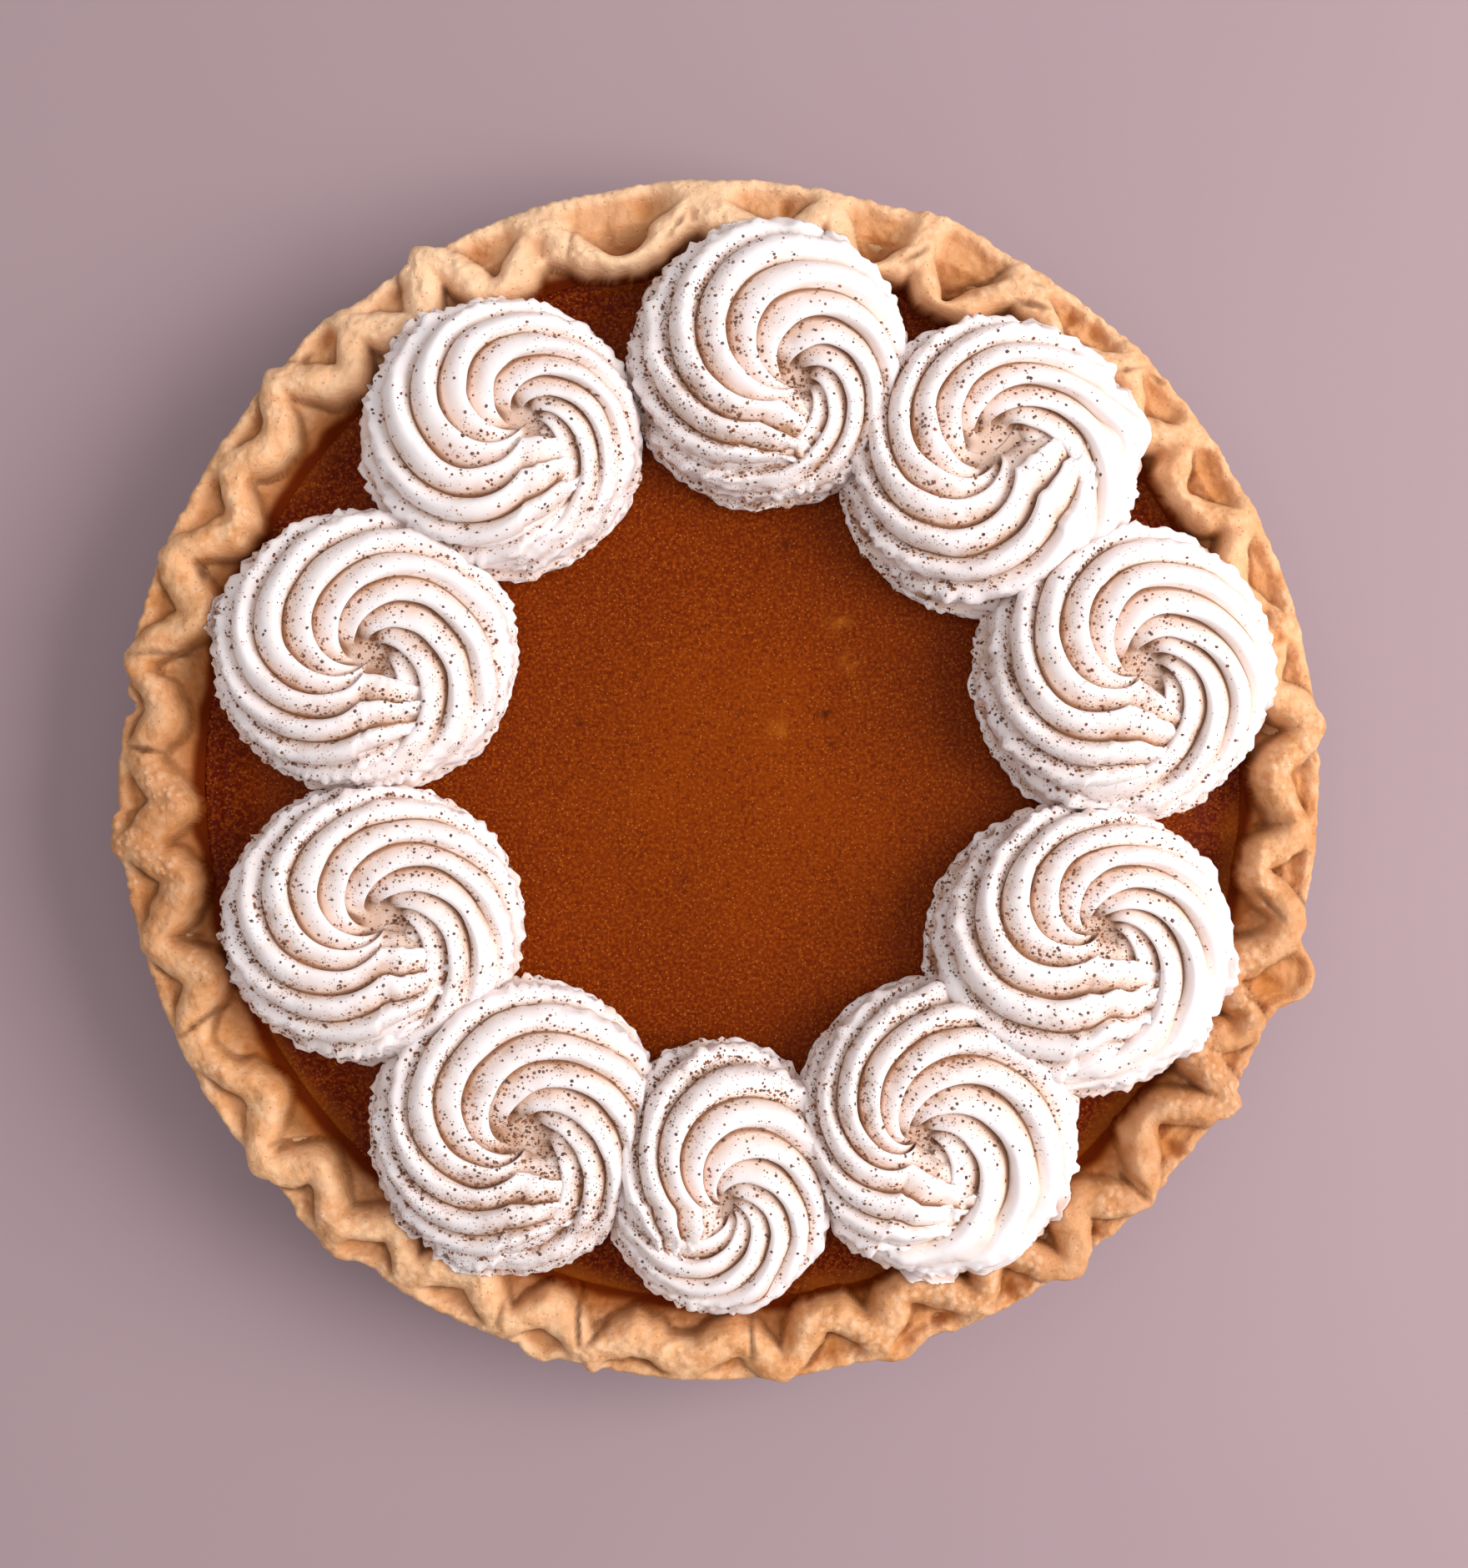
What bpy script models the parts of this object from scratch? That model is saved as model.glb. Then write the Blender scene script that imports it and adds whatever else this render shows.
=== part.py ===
"""Pumpkin pie in its tin: a pastry case with a crimped rim, a set filling and ten piped cream swirls.

The script builds one closed solid for each separate piece, in metres with +Z up. The origin is the
middle of the tin's underside. Sizes in the tables are in millimetres and angles are in degrees,
counted anticlockwise from +X when the pie is seen from above.
"""

import math
import random

import bmesh
import bpy

MM = 0.001
GAP = 0.3                   # clearance between solids that touch
TURNED_STEPS = 48           # facets round the tin, the filling and the case's plain wall

# Tin: a thin pressed pan with sloping sides and a flat rim, given by the middle of its sheet.
TIN_THICKNESS = 0.8
TIN_BASE_RADIUS = 97.0
TIN_WALL_TOP_RADIUS = 117.2
TIN_WALL_TOP = 29.6
TIN_RIM_HEIGHT = 30.3
TIN_RIM_RADIUS = 125.4

# Pastry case: a plain bowl below the filling line and a crimped rim above it.
CASE_FLOOR_THICKNESS = 3.5
CASE_WALL_THICKNESS = 3.4
BRIM_RADIUS = 126.4
BRIM_TOP = 34.8
POCKET_FLOOR = 33.6
CREST_HEIGHT = 38.4
CREST_INNERMOST = 112.5
FOLD_HALF_WIDTH = 2.3
SHOULDER_DROP = 1.6         # from the crest to the brim where the fold bends outward
INNER_FACE_AT_OUTWARD_BEND = 117.2
INNER_FACE_AT_INWARD_BEND = 113.2

# One row per flute of the crimped rim: the angle where the fold bends outward and how far it
# reaches there, then the angle where it bends inward and the radius of the pocket behind it.
FLUTES = (
    (5.7, 127.5, 10.0, 119.0),
    (15.5, 123.0, 21.0, 118.0),
    (26.5, 123.0, 31.7, 115.5),
    (37.0, 121.5, 41.0, 118.5),
    (45.5, 122.5, 51.0, 118.5),
    (58.5, 123.5, 65.5, 112.5),
    (69.3, 119.0, 74.5, 113.0),
    (79.5, 123.5, 84.0, 117.5),
    (92.0, 122.5, 100.5, 113.5),
    (108.7, 122.5, 114.5, 117.5),
    (120.0, 129.3, 123.7, 119.0),
    (129.5, 125.0, 133.0, 119.5),
    (138.0, 128.0, 142.7, 121.5),
    (147.0, 124.3, 152.0, 119.5),
    (158.0, 127.3, 162.0, 120.5),
    (168.5, 128.2, 173.0, 122.5),
    (177.5, 125.0, 182.2, 120.0),
    (186.0, 125.5, 190.5, 119.5),
    (196.0, 127.0, 200.2, 120.5),
    (206.5, 127.2, 214.0, 121.0),
    (219.5, 128.3, 224.2, 121.3),
    (228.8, 125.5, 233.5, 120.5),
    (237.6, 124.6, 242.5, 119.5),
    (248.0, 125.0, 251.7, 121.0),
    (256.7, 125.5, 261.0, 121.7),
    (266.5, 124.2, 271.5, 121.0),
    (275.8, 126.5, 280.8, 117.0),
    (285.7, 122.2, 290.0, 117.0),
    (296.5, 123.5, 299.8, 117.3),
    (305.7, 128.0, 310.3, 119.3),
    (315.3, 126.0, 322.0, 117.0),
    (328.0, 128.6, 331.0, 116.5),
    (335.2, 125.0, 338.8, 116.5),
    (346.0, 126.5, 350.5, 116.5),
    (355.0, 123.3, 360.3, 119.0),
)

# Flaps of dough that hang out past the brim: angle, extra reach and half width in degrees.
FLAPS = (
    (67.5, 1.2, 4.0),
    (131.5, 1.4, 3.0),
    (185.0, 2.4, 2.0),
    (229.5, 2.6, 4.0),
    (252.0, 1.8, 2.0),
    (287.0, 1.2, 2.0),
    (341.8, 6.4, 3.0),
)

# Filling: set custard that ends just under the fluted part of the case.
FILLING_TOP = 27.0

# Cream swirls: middle x and y, half width across x and y, the eye's offset from the middle in
# x and y, the direction the tail is drawn off in, and the height above the filling.
SWIRLS = (
    (9.5, 87.2, 28.6, 28.8, 5.8, -5.8, -63.0, 23.5),
    (-46.6, 71.9, 28.7, 28.2, 5.0, 1.2, -19.0, 24.0),
    (55.8, 66.0, 30.2, 30.3, 0.6, 2.6, 16.0, 23.5),
    (83.5, 22.6, 29.8, 30.6, 2.6, 0.2, -45.0, 24.5),
    (-75.5, 27.2, 31.2, 29.0, 0.4, -2.0, -24.0, 22.0),
    (-73.7, -29.6, 30.8, 28.6, 4.2, 0.3, -20.0, 22.5),
    (74.9, -34.9, 31.0, 29.8, 2.8, 4.4, -32.0, 23.5),
    (-43.4, -72.3, 30.0, 30.0, 3.0, -2.5, -33.0, 23.0),
    (-0.8, -83.2, 23.6, 27.8, 1.0, -4.0, -100.0, 22.5),
    (44.4, -72.6, 28.9, 30.4, -4.2, -1.2, -39.0, 23.0),
)
SWIRL_RIDGES = 11
SWIRL_TURN = 185.0          # how far a ridge winds round between the eye and the widest part
SWIRL_RINGS = (0.09, 0.20, 0.32, 0.44, 0.56, 0.68, 0.80, 0.91, 1.0)
RIDGE_DEPTH = 1.3
SEAM_STEP = 2.4             # how much higher the end of the piped loop lies than its start
SQUASH_LENGTH = 3.0
CASE_SIDE_START = 103.5     # from here out the cream rides up over the case
CASE_SIDE_END = 108.5
CREAM_OVER_CASE = 40.5

RANDOM_SEED = 31


def polar(radius, angle, height):
    """Return the point, in metres, at a radius and height in millimetres."""
    turn = math.radians(angle)
    return (radius * math.cos(turn) * MM, radius * math.sin(turn) * MM, height * MM)


def blend(start, end, share):
    """Return the value that lies a share of the way from start to end."""
    return start + (end - start) * share


def clear_scene():
    """Remove whatever the scene holds, so that only the pie is left."""
    for item in list(bpy.data.objects):
        bpy.data.objects.remove(item, do_unlink=True)


def make_collection(name):
    """Add a collection to the scene."""
    collection = bpy.data.collections.new(name)
    bpy.context.scene.collection.children.link(collection)
    return collection


def make_material(name, colour, roughness, metallic=0.0):
    """Return a plain Principled material."""
    material = bpy.data.materials.new(name)
    material.use_nodes = True
    shader = material.node_tree.nodes["Principled BSDF"]
    shader.inputs["Base Color"].default_value = (*colour, 1.0)
    shader.inputs["Roughness"].default_value = roughness
    shader.inputs["Metallic"].default_value = metallic
    return material


def add_object(collection, name, vertices, faces, edges=()):
    """Add a mesh object made of the given geometry."""
    mesh = bpy.data.meshes.new(name)
    mesh.from_pydata(vertices, list(edges), faces)
    mesh.update()
    item = bpy.data.objects.new(name, mesh)
    collection.objects.link(item)
    return item


def face_outward(item):
    """Turn every face of a closed mesh to look outward and shade it smooth."""
    shell = bmesh.new()
    shell.from_mesh(item.data)
    bmesh.ops.recalc_face_normals(shell, faces=shell.faces)
    for face in shell.faces:
        face.smooth = True
    shell.to_mesh(item.data)
    shell.free()


def turned(collection, name, profile, material):
    """Turn a profile of (radius, height) points, listed from the top down, about the Z axis."""
    vertices = [(radius * MM, 0.0, height * MM) for radius, height in profile]
    edges = [(index, index + 1) for index in range(len(profile) - 1)]
    item = add_object(collection, name, vertices, [], edges)
    item.data.materials.append(material)
    screw = item.modifiers.new("turn", "SCREW")
    screw.axis = "Z"
    screw.steps = TURNED_STEPS
    screw.render_steps = TURNED_STEPS
    screw.use_merge_vertices = True
    screw.merge_threshold = 0.00001
    screw.use_smooth_shade = True
    return item


def case_outer_radius(height):
    """Return the radius of the case's outer wall, which lies inside the tin, at a height."""
    slope = (TIN_WALL_TOP_RADIUS - TIN_BASE_RADIUS) / (TIN_WALL_TOP - TIN_THICKNESS / 2)
    clearance = (TIN_THICKNESS / 2 + GAP + 0.1) * math.hypot(1.0, slope)
    return TIN_BASE_RADIUS + slope * (height - TIN_THICKNESS / 2) - clearance


def case_inner_radius(height):
    """Return the radius of the case's inner wall at a height below the filling line."""
    return case_outer_radius(height) - CASE_WALL_THICKNESS


def build_tin(collection):
    """Build the pressed tin: rim, sloping wall and flat base."""
    material = make_material("tin", (0.78, 0.79, 0.80), 0.3, 1.0)
    profile = (
        (TIN_RIM_RADIUS, TIN_RIM_HEIGHT - 1.4),
        (TIN_RIM_RADIUS, TIN_RIM_HEIGHT - 0.5),
        (TIN_RIM_RADIUS - 0.6, TIN_RIM_HEIGHT),
        (TIN_WALL_TOP_RADIUS + 1.1, TIN_RIM_HEIGHT),
        (TIN_WALL_TOP_RADIUS, TIN_WALL_TOP),
        (TIN_BASE_RADIUS, TIN_THICKNESS / 2),
        (0.0, TIN_THICKNESS / 2),
    )
    tin = turned(collection, "pie_tin", profile, material)
    shell = tin.modifiers.new("sheet", "SOLIDIFY")
    shell.thickness = TIN_THICKNESS * MM
    shell.offset = 0.0
    shell.use_even_offset = True


def build_filling(collection):
    """Build the filling, which fills the case up to just under its flutes."""
    material = make_material("filling", (0.30, 0.075, 0.008), 0.35)
    side_gap = 0.45
    floor = TIN_THICKNESS + GAP + CASE_FLOOR_THICKNESS + GAP
    profile = (
        (0.0, FILLING_TOP),
        (case_inner_radius(FILLING_TOP) - side_gap, FILLING_TOP),
        (case_inner_radius(floor) - side_gap - 1.5, floor),
        (0.0, floor),
    )
    turned(collection, "filling", profile, material)


def fold_columns():
    """Return (angle, reach of the fold, share of inward bend) for each column of the rim."""
    bends = []
    for out_angle, out_reach, in_angle, in_reach in FLUTES:
        bends.append((out_angle, out_reach, 0.0))
        bends.append((in_angle, in_reach, 1.0))
    columns = []
    for index, (angle, reach, inward) in enumerate(bends):
        next_angle, next_reach, next_inward = bends[(index + 1) % len(bends)]
        if next_angle < angle:
            next_angle += 360.0
        columns.append((angle, reach, inward))
        columns.append(((angle + next_angle) / 2, (reach + next_reach) / 2, 0.5))
    return columns


def brim_reach(angle, fold_reach):
    """Return the radius of the brim's edge, with its flaps and the folds that push it out."""
    reach = BRIM_RADIUS + 0.6 * math.cos(math.radians(angle - 150.0))
    for flap_angle, extra, half_width in FLAPS:
        offset = (angle - flap_angle + 180.0) % 360.0 - 180.0
        reach += extra * math.exp(-(offset / half_width) ** 2)
    return max(reach, fold_reach + 0.6)


def rim_section(angle, fold_reach, inward, crest):
    """Return the rim's cross-section at one angle, from under the brim to the filling line."""
    edge = brim_reach(angle, fold_reach)
    fold = max(fold_reach - FOLD_HALF_WIDTH, CREST_INNERMOST)
    outer_foot = min(fold + FOLD_HALF_WIDTH + 0.7, edge - 1.6)
    pocket = blend(crest - SHOULDER_DROP, POCKET_FLOOR, inward)
    inner_face = blend(INNER_FACE_AT_OUTWARD_BEND, INNER_FACE_AT_INWARD_BEND, inward)
    inner_face = min(inner_face, fold - 2.2)
    filling_line = case_inner_radius(FILLING_TOP)
    section = (
        (edge - 1.0, 31.3),
        (edge, 33.0),
        (edge - 0.9, BRIM_TOP),
        (outer_foot, pocket),
        (min(fold + 1.7, edge - 1.9), crest - 0.9),
        (fold - 0.5, crest),
        (fold - 2.4, crest - 1.7),
        (inner_face, 33.2),
        (filling_line + 0.3, FILLING_TOP + 1.2),
        (filling_line - 0.2, FILLING_TOP - 1.0),
    )
    return section


def ring_faces(lower, upper):
    """Return the quads between two closed rings of vertices of equal count."""
    count = len(lower)
    faces = []
    for index in range(count):
        following = (index + 1) % count
        faces.append((lower[index], lower[following], upper[following], upper[index]))
    return faces


def zip_faces(first, first_angles, second, second_angles):
    """Return the triangles between two closed rings whose vertices stand at different angles."""
    faces = []
    i = 0
    j = 0
    first_turn = [*first_angles, first_angles[0] + 360.0]
    second_turn = [*second_angles, second_angles[0] + 360.0]
    while i < len(first) or j < len(second):
        step_first = j == len(second) or (i < len(first) and first_turn[i + 1] <= second_turn[j + 1])
        corner_first = first[i % len(first)]
        corner_second = second[j % len(second)]
        if step_first:
            i += 1
            faces.append((corner_first, first[i % len(first)], corner_second))
        else:
            j += 1
            faces.append((corner_first, second[j % len(second)], corner_second))
    return faces


def add_ring(vertices, points):
    """Append a ring of points to the vertex list and return their indices."""
    start = len(vertices)
    vertices.extend(points)
    return list(range(start, len(vertices)))


def plain_ring(vertices, angles, radius, height):
    """Append a round ring at one radius and height and return its indices."""
    return add_ring(vertices, [polar(radius, angle, height) for angle in angles])


def build_case(collection):
    """Build the pastry case: a crimped rim lofted round the pie on a plain turned bowl."""
    rng = random.Random(RANDOM_SEED)
    columns = fold_columns()
    fold_angles = [column[0] for column in columns]
    plain_angles = [360.0 * (index + 1) / TURNED_STEPS for index in range(TURNED_STEPS)]
    sections = []
    for angle, reach, inward in columns:
        crest = CREST_HEIGHT + rng.uniform(-0.7, 0.7)
        sections.append(rim_section(angle, reach, inward, crest))

    vertices = []
    faces = []
    under_base = TIN_THICKNESS + GAP
    under_rim = TIN_RIM_HEIGHT + TIN_THICKNESS / 2 + GAP
    wall_top = TIN_WALL_TOP + 0.3
    base = plain_ring(vertices, plain_angles, case_outer_radius(under_base), under_base)
    wall = plain_ring(vertices, plain_angles, case_outer_radius(wall_top), wall_top)
    rim_root = plain_ring(vertices, plain_angles, TIN_WALL_TOP_RADIUS + 0.6, under_rim)
    rim_end = plain_ring(vertices, plain_angles, TIN_RIM_RADIUS - 1.4, under_rim)
    faces.append(tuple(base))
    faces.extend(ring_faces(base, wall))
    faces.extend(ring_faces(wall, rim_root))
    faces.extend(ring_faces(rim_root, rim_end))

    rows = []
    for level in range(len(sections[0])):
        points = [polar(section[level][0], angle, section[level][1])
                  for angle, section in zip(fold_angles, sections)]
        rows.append(add_ring(vertices, points))
    faces.extend(zip_faces(rim_end, plain_angles, rows[0], fold_angles))
    for lower, upper in zip(rows, rows[1:]):
        faces.extend(ring_faces(lower, upper))

    floor_height = under_base + CASE_FLOOR_THICKNESS
    throat_height = FILLING_TOP - 3.0
    throat = plain_ring(vertices, plain_angles, case_inner_radius(throat_height), throat_height)
    floor = plain_ring(vertices, plain_angles, case_inner_radius(floor_height) - 1.5, floor_height)
    faces.extend(zip_faces(rows[-1], fold_angles, throat, plain_angles))
    faces.extend(ring_faces(throat, floor))
    faces.append(tuple(reversed(floor)))

    case = add_object(collection, "crust", vertices, faces)
    case.data.materials.append(make_material("crust", (0.64, 0.37, 0.16), 0.6))
    face_outward(case)


def rest_height(x, y):
    """Return the height of what the cream lies on at a place: filling, or the case's folds."""
    radius = math.hypot(x, y)
    share = (radius - CASE_SIDE_START) / (CASE_SIDE_END - CASE_SIDE_START)
    share = min(max(share, 0.0), 1.0)
    return blend(FILLING_TOP + GAP, CREAM_OVER_CASE, share)


def squash_against_neighbours(x, y, swirl, others):
    """Press a point of one swirl back behind the planes where it meets the other swirls."""
    for other in others:
        away_x = other[0] - swirl[0]
        away_y = other[1] - swirl[1]
        distance = math.hypot(away_x, away_y)
        own_size = (swirl[2] + swirl[3]) / 2
        other_size = (other[2] + other[3]) / 2
        away_x /= distance
        away_y /= distance
        limit = distance * own_size / (own_size + other_size) - GAP / 2
        reach = (x - swirl[0]) * away_x + (y - swirl[1]) * away_y
        start = limit - SQUASH_LENGTH
        if reach > start:
            pressed = limit - SQUASH_LENGTH * math.exp((start - reach) / SQUASH_LENGTH)
            x += (pressed - reach) * away_x
            y += (pressed - reach) * away_y
    return x, y


def swirl_outline(swirl, angle):
    """Return how far the swirl's outline lies from its eye in a direction."""
    half_x, half_y, eye_x, eye_y = swirl[2:6]
    step_x = math.cos(math.radians(angle)) / half_x
    step_y = math.sin(math.radians(angle)) / half_y
    from_x = eye_x / half_x
    from_y = eye_y / half_y
    a = step_x ** 2 + step_y ** 2
    b = from_x * step_x + from_y * step_y
    c = from_x ** 2 + from_y ** 2 - 1.0
    return (-b + math.sqrt(b * b - a * c)) / a


def swirl_rise(share, angle, swirl):
    """Return the nominal height of the piped loop above the filling, as a share of its width."""
    round_top = 0.42 + 0.58 * math.sqrt(max(1.0 - ((share - 0.45) / 0.58) ** 2, 0.0))
    eye = 0.16 * math.exp(-(share / 0.16) ** 2)
    laid = ((angle - swirl[6]) % 360.0) / 360.0
    step = SEAM_STEP * (laid - 0.5) * math.sin(math.pi * min(share, 0.95))
    return swirl[7] * (round_top - eye) + step


def build_swirl(collection, number, swirl, others, material):
    """Build one swirl of cream: ridges wind outward from its eye and on down its side."""
    line_count = 2 * SWIRL_RIDGES
    eye_x = swirl[0] + swirl[4]
    eye_y = swirl[1] + swirl[5]
    vertices = []
    rings = []

    def place(line, share, turn, swell):
        angle = swirl[6] + 360.0 * line / line_count + turn
        reach = swirl_outline(swirl, angle) * share * swell
        x = eye_x + reach * math.cos(math.radians(angle))
        y = eye_y + reach * math.sin(math.radians(angle))
        x, y = squash_against_neighbours(x, y, swirl, others)
        return x, y, angle

    for share in SWIRL_RINGS:
        points = []
        for line in range(line_count):
            side = 1.0 if line % 2 == 0 else -1.0
            swell = 1.0 + 0.022 * side * share
            x, y, angle = place(line, share, SWIRL_TURN * (1.0 - share), swell)
            ridge = side * RIDGE_DEPTH * min(1.0, 0.35 + 1.3 * share)
            rise = swirl_rise(share, angle, swirl) + ridge
            top = max(FILLING_TOP + GAP + rise, rest_height(x, y) + 2.6 + 4.0 * (1.0 - share))
            points.append((x * MM, y * MM, top * MM))
        rings.append(add_ring(vertices, points))

    for share, turn, height_share in ((0.985, -14.0, 0.5), (0.93, -26.0, 0.0)):
        points = []
        for line in range(line_count):
            side = 1.0 if line % 2 == 0 else -1.0
            x, y, angle = place(line, share, turn, 1.0 + 0.022 * side)
            rest = rest_height(x, y)
            edge_top = max(FILLING_TOP + GAP + 0.42 * swirl[7], rest + 2.0)
            points.append((x * MM, y * MM, blend(rest, edge_top, height_share) * MM))
        rings.append(add_ring(vertices, points))

    inner_points = []
    for line in range(0, line_count, 2):
        x, y, angle = place(line, 0.62, -26.0, 1.0)
        inner_points.append((x * MM, y * MM, rest_height(x, y) * MM))
    inner = add_ring(vertices, inner_points)

    faces = [tuple(rings[0])]
    for lower, upper in zip(rings, rings[1:]):
        faces.extend(ring_faces(lower, upper))
    outer = rings[-1]
    for index, corner in enumerate(inner):
        following = inner[(index + 1) % len(inner)]
        near = outer[2 * index]
        middle = outer[2 * index + 1]
        far = outer[(2 * index + 2) % line_count]
        faces.extend(((corner, near, middle), (corner, middle, following), (following, middle, far)))
    faces.append(tuple(reversed(inner)))

    cream = add_object(collection, f"whipped_cream_{number:02d}", vertices, faces)
    cream.data.materials.append(material)
    face_outward(cream)


def build_pie():
    """Build the whole pie."""
    clear_scene()
    collection = make_collection("pumpkin_pie")
    build_tin(collection)
    build_case(collection)
    build_filling(collection)
    cream = make_material("whipped_cream", (0.90, 0.84, 0.80), 0.5)
    for number, swirl in enumerate(SWIRLS, start=1):
        others = [other for other in SWIRLS if other is not swirl]
        build_swirl(collection, number, swirl, others, cream)


build_pie()
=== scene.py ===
import math

import bpy
import numpy as np
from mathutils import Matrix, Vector
from mathutils.bvhtree import BVHTree


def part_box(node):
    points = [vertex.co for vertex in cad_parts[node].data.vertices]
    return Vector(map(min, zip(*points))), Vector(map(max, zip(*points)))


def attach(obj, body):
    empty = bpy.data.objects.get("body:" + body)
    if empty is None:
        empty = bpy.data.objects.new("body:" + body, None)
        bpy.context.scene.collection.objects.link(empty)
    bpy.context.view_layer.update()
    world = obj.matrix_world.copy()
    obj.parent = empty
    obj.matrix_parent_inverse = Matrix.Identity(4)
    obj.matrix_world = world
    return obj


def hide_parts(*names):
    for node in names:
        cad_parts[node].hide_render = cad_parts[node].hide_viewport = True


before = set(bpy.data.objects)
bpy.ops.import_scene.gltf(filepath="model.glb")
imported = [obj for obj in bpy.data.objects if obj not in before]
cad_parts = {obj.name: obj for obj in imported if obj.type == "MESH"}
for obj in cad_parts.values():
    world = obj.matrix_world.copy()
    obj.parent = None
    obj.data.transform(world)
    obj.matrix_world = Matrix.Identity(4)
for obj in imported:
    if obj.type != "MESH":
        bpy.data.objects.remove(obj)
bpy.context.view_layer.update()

# Lengths are in millimetres and angles in degrees, anticlockwise from +X seen from above.
MM = 0.001
GAP = 0.3

# Heights and radii of the pastry case and of what it holds.
filling_low, filling_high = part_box("filling")
FILLING_TOP = filling_high.z / MM
FILLING_RADIUS = filling_high.x / MM
CREST_HEIGHT = 38.6
BRIM_TOP = 34.8
POCKET_FLOOR = 33.3
BRIM_RADIUS = 126.3
FOLD_INNERMOST = 110.4
WALL_FOOT_RADIUS = 110.9
WALL_TOP_RADIUS = 119.4
UNDER_RIM = 31.0

# One row per flute: the angle where the fold bends outward and the reach of its outer side
# there, then the angle where it bends inward and the radius of the pocket behind it.
FLUTES = (
    (5.7, 127.5, 10.0, 119.0), (15.5, 123.0, 21.0, 118.0), (26.5, 123.0, 31.7, 115.5),
    (37.0, 121.5, 41.0, 118.5), (45.5, 122.5, 51.0, 118.5), (58.5, 123.5, 65.5, 112.5),
    (69.3, 119.0, 74.5, 113.0), (79.5, 123.5, 84.0, 117.5), (92.0, 122.5, 100.5, 113.5),
    (108.7, 122.5, 114.5, 117.5), (120.0, 129.3, 123.7, 119.0), (129.5, 125.0, 133.0, 119.5),
    (138.0, 128.0, 142.7, 121.5), (147.0, 124.3, 152.0, 119.5), (158.0, 127.3, 162.0, 120.5),
    (168.5, 128.2, 173.0, 122.5), (177.5, 125.0, 182.2, 120.0), (186.0, 125.5, 190.5, 119.5),
    (196.0, 127.0, 200.2, 120.5), (206.5, 127.2, 214.0, 121.0), (219.5, 128.3, 224.2, 121.3),
    (228.8, 125.5, 233.5, 120.5), (237.6, 124.6, 242.5, 119.5), (248.0, 125.0, 251.7, 121.0),
    (256.7, 125.5, 261.0, 121.7), (266.5, 124.2, 271.5, 121.0), (275.8, 126.5, 280.8, 117.0),
    (285.7, 122.2, 290.0, 117.0), (296.5, 123.5, 299.8, 117.3), (305.7, 128.0, 310.3, 119.3),
    (315.3, 126.0, 322.0, 117.0), (328.0, 128.6, 331.0, 116.5), (335.2, 125.0, 338.8, 116.5),
    (346.0, 126.5, 350.5, 116.5), (355.0, 123.3, 360.3, 119.0),
)

# Flaps of dough that hang out past the brim: angle, extra reach and half width in degrees.
FLAPS = (
    (67.5, 1.2, 4.0), (131.5, 1.4, 3.0), (172.7, -2.4, 0.9), (183.6, 1.7, 0.8),
    (185.8, 2.4, 1.5), (227.0, 1.6, 2.0), (230.5, 2.4, 2.0), (252.0, 1.8, 1.6),
    (257.5, 1.4, 0.7), (287.0, 1.2, 1.6), (291.0, -1.2, 1.2), (341.2, 6.0, 2.7),
)

# Hollows pressed in the rim, and nubs where the depth is negative: angle, radius, half length
# along the rim, half length across it and depth.
DENTS = (
    (5.6, 116.5, 1.8, 3.2, 2.4), (14.6, 119.8, 1.0, 1.3, 1.8), (16.4, 121.0, 1.5, 1.9, -1.6),
    (22.0, 120.8, 3.0, 1.5, -0.9), (27.0, 116.2, 1.5, 1.5, 1.5), (31.5, 121.0, 4.4, 3.4, 1.2),
    (36.8, 115.8, 1.6, 2.6, 2.2), (50.3, 122.8, 2.0, 1.5, 1.6), (53.2, 122.0, 1.3, 1.8, 1.7),
    (63.8, 118.0, 2.6, 4.6, 1.3), (74.0, 118.6, 2.8, 3.4, 2.2), (74.2, 120.4, 1.2, 1.5, -1.2),
    (83.7, 121.6, 1.1, 1.8, 2.4), (93.2, 118.6, 1.2, 1.6, 1.5), (97.8, 122.2, 2.6, 3.0, 1.7),
    (102.0, 117.4, 1.5, 2.6, 0.9), (109.2, 118.4, 2.6, 3.0, 2.6), (109.4, 114.4, 2.1, 1.5, -1.8),
    (115.0, 122.6, 3.2, 2.4, 1.5), (123.6, 123.6, 3.0, 2.2, 1.1), (131.8, 125.2, 1.6, 1.3, 1.8),
    (132.8, 122.4, 1.3, 1.2, -1.1), (162.5, 124.6, 2.2, 2.0, 1.2), (170.2, 126.6, 0.7, 1.2, 1.8),
    (218.5, 115.0, 3.2, 1.8, 1.4), (276.5, 116.0, 1.2, 2.6, 1.7), (286.0, 114.0, 1.5, 2.2, 1.7),
    (291.8, 121.6, 1.7, 0.8, 3.6), (296.4, 116.4, 1.6, 1.7, 2.8), (299.4, 122.2, 1.5, 3.0, 2.2),
    (304.8, 117.0, 1.8, 3.2, 1.8), (306.6, 115.4, 1.5, 1.5, -1.3), (309.5, 123.2, 1.5, 2.2, 2.4),
    (316.0, 120.6, 0.9, 3.2, 2.2), (320.8, 122.2, 1.5, 2.6, 2.2), (334.7, 118.2, 2.2, 2.0, 3.2),
    (339.6, 122.0, 2.0, 3.4, 2.2), (356.3, 119.6, 1.0, 1.6, -1.6),
)

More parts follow.
